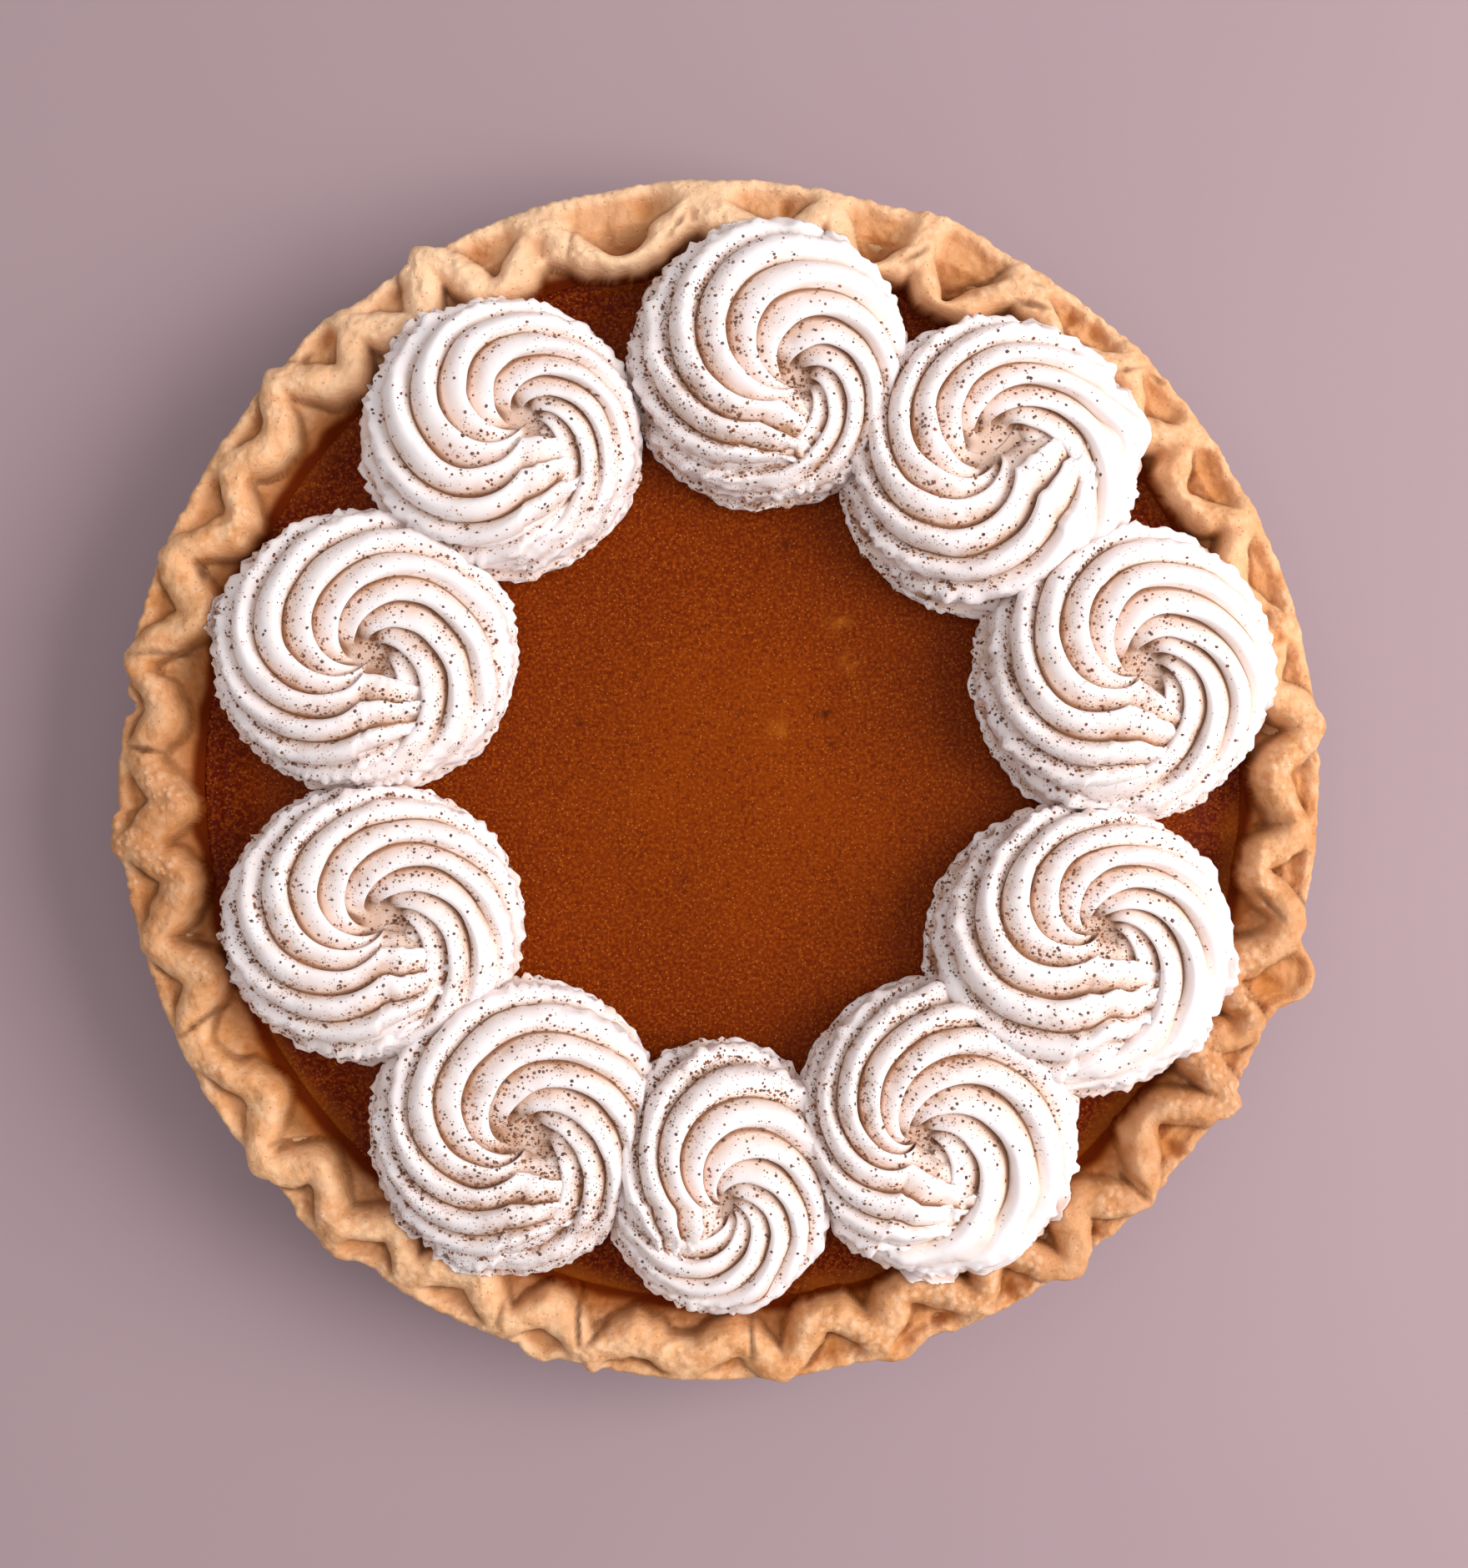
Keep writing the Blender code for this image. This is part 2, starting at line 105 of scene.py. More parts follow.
# Narrow creases and cracks, cut in and painted with a dark shade line: the angle and radius of each
# end, and depth.
CREASES = (
    (42.0, 124.8, 43.8, 124.0, 0.9), (44.6, 123.6, 46.4, 117.6, 1.1),
    (57.0, 123.4, 58.6, 122.8, 0.7), (61.0, 124.0, 62.2, 118.4, 1.2),
    (62.2, 118.4, 65.5, 114.0, 1.0), (55.5, 120.0, 58.5, 117.6, 1.3),
    (69.0, 119.6, 71.0, 114.6, 0.9), (93.5, 119.6, 96.0, 114.0, 1.0),
    (104.8, 121.2, 106.5, 114.2, 1.0), (133.8, 125.0, 135.4, 125.0, 1.3),
    (157.0, 119.8, 158.8, 116.6, 1.3), (167.8, 127.2, 166.3, 114.0, 1.0),
    (176.6, 124.8, 177.0, 117.0, 1.7), (195.6, 119.8, 196.5, 114.6, 1.2),
    (205.2, 125.4, 203.8, 113.4, 1.4), (218.7, 121.2, 221.5, 114.0, 1.3),
    (247.3, 123.2, 247.2, 116.6, 1.0), (254.0, 110.6, 255.7, 121.8, 1.9),
    (256.2, 121.8, 258.3, 115.2, 1.4), (273.0, 112.0, 272.9, 120.4, 1.3),
    (315.6, 125.2, 315.4, 117.6, 1.6), (337.4, 122.8, 338.0, 117.6, 1.0),
    (346.3, 120.4, 348.8, 113.4, 1.2), (355.8, 117.8, 355.2, 112.8, 1.2),
)

# How much paler (above 0) or browner (below 0) the rim is coloured, by angle.
TONES = (
    (4.0, -0.1), (34.0, 0.25), (64.0, 0.45), (94.0, 1.0), (118.0, 1.0), (150.0, 0.15),
    (184.0, -0.65), (214.0, 0.1), (244.0, 0.3), (274.0, 0.0), (304.0, -0.5), (334.0, -0.65),
)

# Where the filling has climbed the case and baked on: angle, half width and strength.
STAINS = (
    (33.0, 4.0, 0.5), (100.5, 4.5, 0.7), (141.0, 7.0, 0.5), (216.0, 9.0, 1.0),
    (256.0, 7.0, 0.9), (284.0, 7.0, 1.0), (318.5, 7.5, 0.9), (351.0, 8.0, 0.8),
)

# Cream swirls: middle x and y, half width across x and y, the eye's offset from the middle in
# x and y, the direction the tail is drawn off in, the height above the filling, where the first
# ridge stands, and how far the eye stands open, as a share of the half width.
SWIRLS = (
    (9.5, 87.2, 28.6, 28.8, 5.8, -5.8, -63.0, 23.5, 0.0, 0.15),
    (-46.6, 71.9, 28.7, 28.2, 6.0, 1.8, -19.0, 24.0, 8.0, 0.15),
    (55.8, 66.0, 30.2, 30.3, 0.6, 2.6, 18.0, 23.5, 3.0, 0.22),
    (83.5, 22.6, 29.8, 30.6, 2.6, 0.2, -45.0, 24.5, 12.0, 0.17),
    (-75.5, 27.2, 31.2, 29.0, 2.4, -2.0, -24.0, 22.0, 17.0, 0.16),
    (-73.7, -29.6, 30.8, 28.6, 4.2, 0.3, -20.0, 22.5, 5.0, 0.17),
    (74.9, -34.9, 31.0, 29.8, 2.8, 4.4, -32.0, 23.5, 21.0, 0.14),
    (-43.4, -72.3, 30.0, 30.0, 3.0, -2.5, -33.0, 23.0, 14.0, 0.20),
    (-0.8, -83.2, 23.6, 27.8, 1.0, -4.0, -112.0, 22.5, 9.0, 0.11),
    (44.4, -72.6, 28.9, 30.4, -4.2, -1.2, -39.0, 23.0, 19.0, 0.11),
)

# Smooth lumps that stand out of a swirl's side: swirl, direction, half width in degrees, reach.
LUMPS = ((3, 13.0, 9.0, 3.6), (9, -70.0, 10.0, 1.4), (10, -62.0, 9.0, 1.0))

# How the cream is piped, in shares of the swirl's half width.
NOZZLE_TEETH = 9
RIDGE_DEPTH = 0.115         # a ridge's height, as a share of the swirl's half width
RIDGE_TOP = 0.18            # a ridge is steep up to here, then falls gently outward
RIDGE_STEPS = (0.0, 0.04, 0.10, 0.18, 0.30, 0.43, 0.56, 0.68, 0.79, 0.88, 0.95)
INNER_END = -118.0          # turn round the rope at the middle of the eye, in degrees
OUTER_END = 180.0           # and at the foot
START_LEAD = 78.0           # the rope starts this far clockwise of the tail
TURN_OFF = 72.0             # and leaves the circle this far short of it
DRAW_OFF = 0.86             # length of the straight end
CORE_TURN = 150.0           # turn taken from the middle out to the full circle
SQUASH_LENGTH = 1.5
CONTACT_OVERLAP = 1.30      # the creams run together where they touch
EYE_DEPTH = 7.5
SKIRT_REACH = 1.9           # how far the foot stands out past the cream above it
SKIRT_DIRECTION = 215.0     # the side where it stands out most


# ---------------------------------------------------------------- small helpers

def smoothstep(low, high, value):
    """Ease from 0 to 1 as the value goes from low to high."""
    share = np.clip((value - low) / (high - low), 0.0, 1.0)
    return share * share * (3.0 - 2.0 * share)


def soft_max(first, second, width):
    """Return the larger of two values, rounded where they meet."""
    difference = np.clip((first - second) / width, -30.0, 30.0)
    return second + width * np.log1p(np.exp(difference))


def lattice_value(cells, seed):
    """Return a repeatable value from -1 to 1 for each whole-number cell."""
    mixed = (cells[..., 0] * 374761393 + cells[..., 1] * 668265263
             + cells[..., 2] * 2147483647 + seed * 1274126177) & 0xFFFFFFFF
    mixed = ((mixed ^ (mixed >> 13)) * 1274126177) & 0xFFFFFFFF
    mixed = (mixed ^ (mixed >> 16)) & 0xFFFFFF
    return mixed / float(0x7FFFFF) - 1.0


def noise(points, size, seed=0):
    """Return smooth noise from about -1 to 1 whose lumps are as large as size."""
    scaled = points / size
    base = np.floor(scaled)
    part = scaled - base
    part = part * part * (3.0 - 2.0 * part)
    base = base.astype(np.int64)
    total = np.zeros(points.shape[:-1])
    for corner in range(8):
        step = np.array([corner & 1, (corner >> 1) & 1, (corner >> 2) & 1])
        weight = np.prod(np.where(step == 1, part, 1.0 - part), axis=-1)
        total += weight * lattice_value(base + step, seed)
    return total


def rough_noise(points, size, seed, octaves=3):
    """Return layered noise, each layer half as large and half as strong as the last."""
    total = np.zeros(points.shape[:-1])
    strength = 1.0
    for octave in range(octaves):
        total += strength * noise(points, size / 2 ** octave, seed + octave)
        strength *= 0.5
    return total


def scattered_bumps(points, size, seed):
    """Return rounded bumps from 0 to 1, one or so in every square of this size."""
    scaled = points[..., :2] / size
    base = np.floor(scaled)
    height = np.zeros(points.shape[:-1])
    for step_x in (-1, 0, 1):
        for step_y in (-1, 0, 1):
            cell = base + (step_x, step_y)
            key = np.stack([cell[..., 0], cell[..., 1], np.zeros(height.shape)], axis=-1)
            key = key.astype(np.int64)
            away_x = cell[..., 0] + 0.5 + 0.4 * lattice_value(key, seed) - scaled[..., 0]
            away_y = cell[..., 1] + 0.5 + 0.4 * lattice_value(key, seed + 1) - scaled[..., 1]
            reach = 0.48 + 0.22 * lattice_value(key, seed + 2)
            away = np.hypot(away_x, away_y) / reach
            height = np.maximum(height, np.clip(1.0 - away ** 2, 0.0, 1.0))
    return height


def add_piece(name, points, faces, material, cad_nodes=(), attributes=None):
    """Add a smooth mesh piece, in millimetres, that rides on the pie."""
    mesh = bpy.data.meshes.new(name)
    mesh.from_pydata((np.asarray(points) * MM).tolist(), [], faces)
    mesh.update()
    mesh.polygons.foreach_set("use_smooth", [True] * len(mesh.polygons))
    for label, values in (attributes or {}).items():
        layer = mesh.attributes.new(label, "FLOAT", "POINT")
        layer.data.foreach_set("value", np.asarray(values, np.float32).ravel())
    mesh.materials.append(material)
    item = bpy.data.objects.new(name, mesh)
    bpy.context.scene.collection.objects.link(item)
    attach(item, "root")
    if cad_nodes:
        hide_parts(*cad_nodes)
    return item


def loop_faces(rows, columns, flip=False):
    """Return the quads between closed loops of points stored loop after loop."""
    row = np.arange(rows - 1)[:, None]
    column = np.arange(columns)[None, :]
    following = (column + 1) % columns
    quads = np.stack([
        row * columns + column,
        row * columns + following,
        (row + 1) * columns + following,
        (row + 1) * columns + column,
    ], axis=-1).reshape(-1, 4)
    return (quads[:, ::-1] if flip else quads).tolist()


# ---------------------------------------------------------------- node helpers

def new_material(name):
    """Return a material, its node tree and its Principled shader."""
    material = bpy.data.materials.new(name)
    material.use_nodes = True
    tree = material.node_tree
    shader = tree.nodes["Principled BSDF"]
    return material, tree, shader


def object_coordinates(tree):
    """Return the object coordinate output, in metres."""
    return tree.nodes.new("ShaderNodeTexCoord").outputs["Object"]


def noise_node(tree, coordinates, scale, detail=3.0, roughness=0.5):
    """Return the value output of a noise texture with this many lumps a metre."""
    node = tree.nodes.new("ShaderNodeTexNoise")
    node.inputs["Scale"].default_value = scale
    node.inputs["Detail"].default_value = detail
    node.inputs["Roughness"].default_value = roughness
    tree.links.new(coordinates, node.inputs["Vector"])
    return node.outputs["Fac"]


def cells_node(tree, coordinates, scale, randomness=1.0):
    """Return the distance output of a cell texture with this many cells a metre."""
    node = tree.nodes.new("ShaderNodeTexVoronoi")
    node.inputs["Scale"].default_value = scale
    node.inputs["Randomness"].default_value = randomness
    tree.links.new(coordinates, node.inputs["Vector"])
    return node.outputs["Distance"]


def grains_node(tree, coordinates, scale, share):
    """Return 1 on small round grains, of which only this share of all cells has one."""
    node = tree.nodes.new("ShaderNodeTexVoronoi")
    node.inputs["Scale"].default_value = scale
    tree.links.new(coordinates, node.inputs["Vector"])
    parts = tree.nodes.new("ShaderNodeSeparateColor")
    tree.links.new(node.outputs["Color"], parts.inputs["Color"])
    lot = combine(tree, "MULTIPLY", parts.outputs["Red"], 4.0)
    chosen = combine(tree, "LESS_THAN", lot, share)
    spot = remap(tree, node.outputs["Distance"], 0.45, 0.25, 0.0, 0.7)
    return combine(tree, "MULTIPLY", chosen, spot)


def attribute_node(tree, label):
    """Return the value output of one of the mesh's own attributes."""
    node = tree.nodes.new("ShaderNodeAttribute")
    node.attribute_name = label
    return node.outputs["Fac"]


def remap(tree, source, low, high, to_low=0.0, to_high=1.0):
    """Return a source value remapped and clamped to a new range."""
    node = tree.nodes.new("ShaderNodeMapRange")
    node.interpolation_type = "SMOOTHSTEP"
    node.inputs["From Min"].default_value = low
    node.inputs["From Max"].default_value = high
    node.inputs["To Min"].default_value = to_low
    node.inputs["To Max"].default_value = to_high
    tree.links.new(source, node.inputs["Value"])
    return node.outputs["Result"]


def combine(tree, operation, first, second):
    """Return the result of a two-input math node; either input may be a plain number."""
    node = tree.nodes.new("ShaderNodeMath")
    node.operation = operation
    for socket, value in zip(node.inputs, (first, second)):
        if isinstance(value, (int, float)):
            socket.default_value = value
        else:
            tree.links.new(value, socket)
    return node.outputs["Value"]


def mix_colour(tree, share, first, second, blend_type="MIX"):
    """Return a mix of two colours; each may be a plain colour or another node's output."""
    node = tree.nodes.new("ShaderNodeMix")
    node.data_type = "RGBA"
    node.blend_type = blend_type
    factor, first_socket, second_socket = node.inputs[0], node.inputs[6], node.inputs[7]
    if isinstance(share, (int, float)):
        factor.default_value = share
    else:
        tree.links.new(share, factor)
    for socket, value in ((first_socket, first), (second_socket, second)):
        if isinstance(value, tuple):
            socket.default_value = (*value, 1.0)
        else:
            tree.links.new(value, socket)
    return node.outputs[2]


def add_bump(tree, shader, height, distance, strength=1.0):
    """Drive the shader's normal from a height value; distance is in metres."""
    node = tree.nodes.new("ShaderNodeBump")
    node.inputs["Distance"].default_value = distance
    node.inputs["Strength"].default_value = strength
    tree.links.new(height, node.inputs["Height"])
    tree.links.new(node.outputs["Normal"], shader.inputs["Normal"])


def linear(red, green, blue):
    """Turn a screen colour, 0 to 255, into a linear one."""
    values = []
    for part in (red, green, blue):
        share = part / 255.0
        values.append(share / 12.92 if share <= 0.04045 else ((share + 0.055) / 1.055) ** 2.4)
    return tuple(values)


# ---------------------------------------------------------------- materials

def cream_material():
    """Whipped cream: soft white, with painted shade in the grooves and the eye, dusted with fine
    cinnamon.
    """
    material, tree, shader = new_material("whipped_cream")
    where = object_coordinates(tree)
    groove_shade = attribute_node(tree, "groove_shade")
    dust = attribute_node(tree, "dust")
    mottle = noise_node(tree, where, 260.0, 3.0)
    # Painted shade: warmer and darker down each groove, in the eye hollow and at the foot, with a
    # thin dark painted shade line at the bottom of each groove.
    groove_shade_tint = combine(tree, "MULTIPLY", groove_shade, remap(tree, mottle, 0.2, 0.8, 0.65, 1.0))
    colour = mix_colour(tree, groove_shade_tint, (0.99, 0.915, 0.91), (0.78, 0.49, 0.32))
    line = remap(tree, groove_shade, 0.72, 1.0)
    colour = mix_colour(tree, line, colour, (0.30, 0.15, 0.08))
    haze = combine(tree, "MULTIPLY", dust, remap(tree, mottle, 0.35, 0.7, 0.04, 0.34))
    colour = mix_colour(tree, haze, colour, (0.43, 0.21, 0.10))
    grains = grains_node(tree, where, 1900.0, combine(tree, "MULTIPLY", dust, 1.1))
    colour = mix_colour(tree, grains, colour, (0.38, 0.20, 0.12))
    tree.links.new(colour, shader.inputs["Base Color"])
    shader.inputs["Roughness"].default_value = 0.52
    shader.inputs["Subsurface Weight"].default_value = 0.12
    shader.inputs["Subsurface Radius"].default_value = (1.0, 0.8, 0.65)
    shader.inputs["Subsurface Scale"].default_value = 0.002
    fine = noise_node(tree, where, 900.0, 3.0)
    add_bump(tree, shader, fine, 0.00012, 0.6)
    return material


def crust_material():
    """Baked pastry: golden tan, with painted shade in its hollows and creases, pale blisters and
    flakes.
    """
    material, tree, shader = new_material("crust")
    where = object_coordinates(tree)
    hollow_shade = attribute_node(tree, "hollow_shade")
    stain = attribute_node(tree, "stain")
    broad = noise_node(tree, where, 55.0, 3.0)
    patches = noise_node(tree, where, 240.0, 4.0, 0.6)
    pores = cells_node(tree, where, 620.0)
    blister = attribute_node(tree, "blister")
    crease_shade = attribute_node(tree, "crease_shade")
    colour = mix_colour(tree, remap(tree, broad, 0.35, 0.65), linear(220, 158, 104),
                        linear(236, 180, 130))
    colour = mix_colour(tree, remap(tree, patches, 0.42, 0.72, 0.0, 0.65), colour,
                        linear(246, 206, 166))
    colour = mix_colour(tree, remap(tree, patches, 0.5, 0.25, 0.0, 0.65), colour,
                        linear(190, 122, 64))
    pale = attribute_node(tree, "pale")
    colour = mix_colour(tree, combine(tree, "MULTIPLY", pale, 0.7), colour,
                        linear(255, 216, 178))
    brown = attribute_node(tree, "brown")
    colour = mix_colour(tree, combine(tree, "MULTIPLY", brown, 0.7), colour,
                        linear(178, 116, 72))
    colour = mix_colour(tree, remap(tree, blister, 0.25, 0.9, 0.0, 0.32), colour,
                        linear(248, 210, 176))
    colour = mix_colour(tree, remap(tree, pores, 0.20, 0.06, 0.0, 0.55), colour,
                        linear(150, 92, 48))
    # Painted shade in the pockets and hollows, then a dark painted shade line along the creases.
    colour = mix_colour(tree, hollow_shade, colour, linear(196, 124, 56))
    colour = mix_colour(tree, combine(tree, "MULTIPLY", crease_shade, 0.75), colour,
                        linear(104, 56, 22))
    colour = mix_colour(tree, stain, colour, linear(172, 96, 30))
    wet = attribute_node(tree, "wet")
    colour = mix_colour(tree, wet, colour, linear(108, 36, 2))
    tree.links.new(colour, shader.inputs["Base Color"])
    shader.inputs["Roughness"].default_value = 0.58
    tree.links.new(remap(tree, wet, 0.0, 0.6, 0.2, 0.03), shader.inputs["Specular IOR Level"])
    shader.inputs["Subsurface Weight"].default_value = 0.25
    shader.inputs["Subsurface Radius"].default_value = (1.0, 0.5, 0.22)
    shader.inputs["Subsurface Scale"].default_value = 0.004
    flakes = noise_node(tree, where, 620.0, 4.0, 0.65)
    height = combine(tree, "ADD", flakes, combine(tree, "MULTIPLY", patches, 0.8))
    add_bump(tree, shader, height, 0.0006, 0.7)
    return material


def filling_material():
    """Baked custard: deep orange brown with fine lighter specks and a soft gloss."""
    material, tree, shader = new_material("filling")
    where = object_coordinates(tree)
    edge = attribute_node(tree, "edge")
    pit_shade = attribute_node(tree, "pit_shade")
    broad = noise_node(tree, where, 28.0, 3.0)
    fine = noise_node(tree, where, 1300.0, 2.0, 0.6)
    specks = cells_node(tree, where, 1050.0)
    shade = attribute_node(tree, "shade")
    pale = attribute_node(tree, "pale")
    climb = attribute_node(tree, "climb")
    dark = noise_node(tree, where, 650.0, 3.0, 0.6)
    colour = mix_colour(tree, remap(tree, broad, 0.3, 0.7), linear(116, 42, 0),
                        linear(130, 50, 0))
    colour = mix_colour(tree, remap(tree, dark, 0.5, 0.3, 0.0, 0.6), colour, linear(92, 24, 0))
    colour = mix_colour(tree, shade, colour, linear(96, 26, 0))
    colour = mix_colour(tree, edge, colour, linear(88, 18, 0))
    colour = mix_colour(tree, remap(tree, fine, 0.42, 0.68, 0.0, 0.6), colour,
                        linear(158, 72, 4))
    colour = mix_colour(tree, pale, colour, linear(176, 98, 22))
    colour = mix_colour(tree, remap(tree, specks, 0.24, 0.05, 0.0, 0.75), colour,
                        linear(196, 120, 48))
    colour = mix_colour(tree, climb, colour, linear(146, 74, 10))
    # Painted shade inside the burst bubbles.
    colour = mix_colour(tree, pit_shade, colour, linear(70, 22, 4))
    tree.links.new(colour, shader.inputs["Base Color"])
    shader.inputs["Roughness"].default_value = 0.34
    shader.inputs["Specular IOR Level"].default_value = 0.04
    add_bump(tree, shader, fine, 0.0001, 0.5)
    return material


def tin_material():
    """Pressed aluminium: bright, with faint rolling marks."""
    material, tree, shader = new_material("tin")
    where = object_coordinates(tree)
    stretch = tree.nodes.new("ShaderNodeMapping")
    stretch.inputs["Scale"].default_value = (1.0, 12.0, 1.0)
    tree.links.new(where, stretch.inputs["Vector"])
    rolled = noise_node(tree, stretch.outputs["Vector"], 160.0, 3.0)
    colour = mix_colour(tree, rolled, (0.62, 0.62, 0.63), (0.80, 0.80, 0.81))
    tree.links.new(colour, shader.inputs["Base Color"])
    tree.links.new(remap(tree, rolled, 0.2, 0.8, 0.24, 0.40), shader.inputs["Roughness"])
    shader.inputs["Metallic"].default_value = 1.0
    add_bump(tree, shader, rolled, 0.0001, 0.4)
    return material


def speck_material(name, dark, light, scale):
    """Ground spice: each grain a slightly different brown."""
    material, tree, shader = new_material(name)
    where = object_coordinates(tree)
    varied = noise_node(tree, where, scale, 2.0)
    tree.links.new(mix_colour(tree, remap(tree, varied, 0.3, 0.7), dark, light),
                   shader.inputs["Base Color"])
    shader.inputs["Roughness"].default_value = 0.8
    return material


def floor_material():
    """A plain pale surface with the faintest unevenness."""
    material, tree, shader = new_material("pale_floor")
    where = object_coordinates(tree)
    faint = noise_node(tree, where, 9.0, 2.0)
    tree.links.new(mix_colour(tree, faint, (0.395, 0.285, 0.31), (0.42, 0.305, 0.33)),
                   shader.inputs["Base Color"])
    shader.inputs["Roughness"].default_value = 0.85
    return material


# ---------------------------------------------------------------- cream swirls

def rest_height(x, y):
    """Return the height of what the cream lies on: the filling, or the case's wall and folds."""
    height = np.full(x.shape, FILLING_TOP + GAP)
    radius = np.hypot(x, y)
    angle = np.degrees(np.arctan2(y, x))
    near = radius > 107.0
    edge = brim_edge(angle[near], fold_line())
    case = rim_shape(angle[near], radius[near], edge)[0]
    height[near] = soft_max(height[near], case + GAP, 0.4)
    return height


def outline_reach(swirl, angle):
    """Return how far the swirl's oval outline lies from its eye in each direction."""
    half_x, half_y, eye_x, eye_y = swirl[2:6]
    step_x = np.cos(np.radians(angle)) / half_x
    step_y = np.sin(np.radians(angle)) / half_y
    from_x = eye_x / half_x
    from_y = eye_y / half_y
    a = step_x ** 2 + step_y ** 2
    b = from_x * step_x + from_y * step_y
    c = from_x ** 2 + from_y ** 2 - 1.0
    return (-b + np.sqrt(b * b - a * c)) / a


def press_against_neighbours(x, y, swirl):
    """Press a swirl back behind the planes where it meets the others."""
    own_size = (swirl[2] + swirl[3]) / 2
    for other in SWIRLS:
        if other is swirl:
            continue
        away_x = other[0] - swirl[0]
        away_y = other[1] - swirl[1]
        distance = math.hypot(away_x, away_y)
        other_size = (other[2] + other[3]) / 2
        away_x /= distance
        away_y /= distance
        limit = distance * own_size / (own_size + other_size) + CONTACT_OVERLAP
        reach = (x - swirl[0]) * away_x + (y - swirl[1]) * away_y
        start = limit - SQUASH_LENGTH
        pressed = limit - SQUASH_LENGTH * np.exp(np.minimum(start - reach, 0.0) / SQUASH_LENGTH)
        shift = np.where(reach > start, pressed - reach, 0.0)
        x = x + shift * away_x
        y = y + shift * away_y
    return x, y


def rope_path(swirl, steps):
    """Return the piped rope's path: x, y, heading, half width and share of the way along.

    The path is in shares of the outline's reach, round the eye, and runs anticlockwise. The
    share is below 0 in the core, 0 to 1 round the circle and 1 to 2 on the straight end.
    """
    tail, eye_share = swirl[6], swirl[9]
    first = tail - START_LEAD
    last = tail - TURN_OFF + 360.0
    core_steps = int(steps * 0.12)
    end_steps = int(steps * 0.17)
    core_turn = np.linspace(first - CORE_TURN, first, core_steps, endpoint=False)
    turn = np.append(core_turn, np.linspace(first, last, steps - core_steps - end_steps))
    spread = smoothstep(first - CORE_TURN, first, turn)
    over_eye = 0.38 * eye_share * smoothstep(last - 120.0, last, turn)
    radius = 0.12 + ((1.0 + eye_share) / 2 - 0.12) * spread - over_eye
    x = radius * np.cos(np.radians(turn))
    y = radius * np.sin(np.radians(turn))
    width = 0.24 + ((1.0 - eye_share) / 2 - 0.24) * spread + over_eye
    heading = turn + 90.0
    along = np.where(turn < first, (turn - first) / CORE_TURN, (turn - first) / (last - first))

    run = np.linspace(0.0, 1.0, end_steps + 1)[1:]
    end_heading = last + 90.0 + 6.0 * run
    narrowed = width[-1] * (1.0 - 0.74 * smoothstep(-0.2, 1.0, run))
    narrowed = narrowed * np.sqrt(np.maximum(1.0 - smoothstep(0.75, 1.0, run) ** 2, 0.02))
    shift = 0.45 * (width[-1] - narrowed)
    direction = np.radians(end_heading)
    end_x = x[-1] + run * DRAW_OFF * np.cos(direction) - shift * np.sin(direction)
    end_y = y[-1] + run * DRAW_OFF * np.sin(direction) + shift * np.cos(direction)
    x = np.append(x, end_x)
    y = np.append(y, end_y)
    heading = np.append(heading, end_heading)
    width = np.append(width, narrowed)
    along = np.append(along, 1.0 + run)
    return x, y, heading, width, along


def ridge_grid(swirl, heading):
    """Return the turn round the rope and the ridge phase of grid lines that follow the ridges.

    Lines that have run off either end of the cross-section are held at that end.
    """
    tooth = 360.0 / NOZZLE_TEETH
    start = heading - 180.0 + swirl[8]
    first = math.floor((start.min() + INNER_END) / tooth)
    last = math.ceil((start.max() + OUTER_END) / tooth)
    lines = (np.arange(first, last)[:, None] + np.array(RIDGE_STEPS)[None, :]).ravel()
    beta = np.clip(lines[None, :] * tooth - start, INNER_END, OUTER_END)
    return beta, (beta + start) / tooth


def rope_faces(beta):
    """Return the faces of the rope: a closed skin between rows, and the two end caps."""
    rows, columns = beta.shape
    number = np.tile(np.arange(columns), (rows, 1))
    inner = (beta <= INNER_END).sum(axis=1)[:, None] - 1
    outer = (columns - (beta >= OUTER_END).sum(axis=1))[:, None]
    number = np.clip(number, inner, outer) + np.arange(rows)[:, None] * columns
    faces = []
    for this_row, next_row in zip(number[:-1].tolist(), number[1:].tolist()):
        for column in range(-1, columns - 1):
            corners = (this_row[column], this_row[column + 1],
                       next_row[column + 1], next_row[column])
            face = tuple(dict.fromkeys(corners))
            if len(face) > 2:
                faces.append(face)
    faces.append(tuple(dict.fromkeys(number[0].tolist()))[::-1])
    faces.append(tuple(dict.fromkeys(number[-1].tolist())))
    return faces


def ridge_shape(share):
    """Return a piped ridge's height from 0 to 1: a steep inner wall and a gentle outer side."""
    wall = np.sqrt(1.0 - (1.0 - np.clip(share / RIDGE_TOP, 0.0, 1.0)) ** 2)
    side = 1.0 - np.clip((share - RIDGE_TOP) / (1.0 - RIDGE_TOP), 0.0, 1.0) ** 2.1
    return np.where(share < RIDGE_TOP, wall, side)


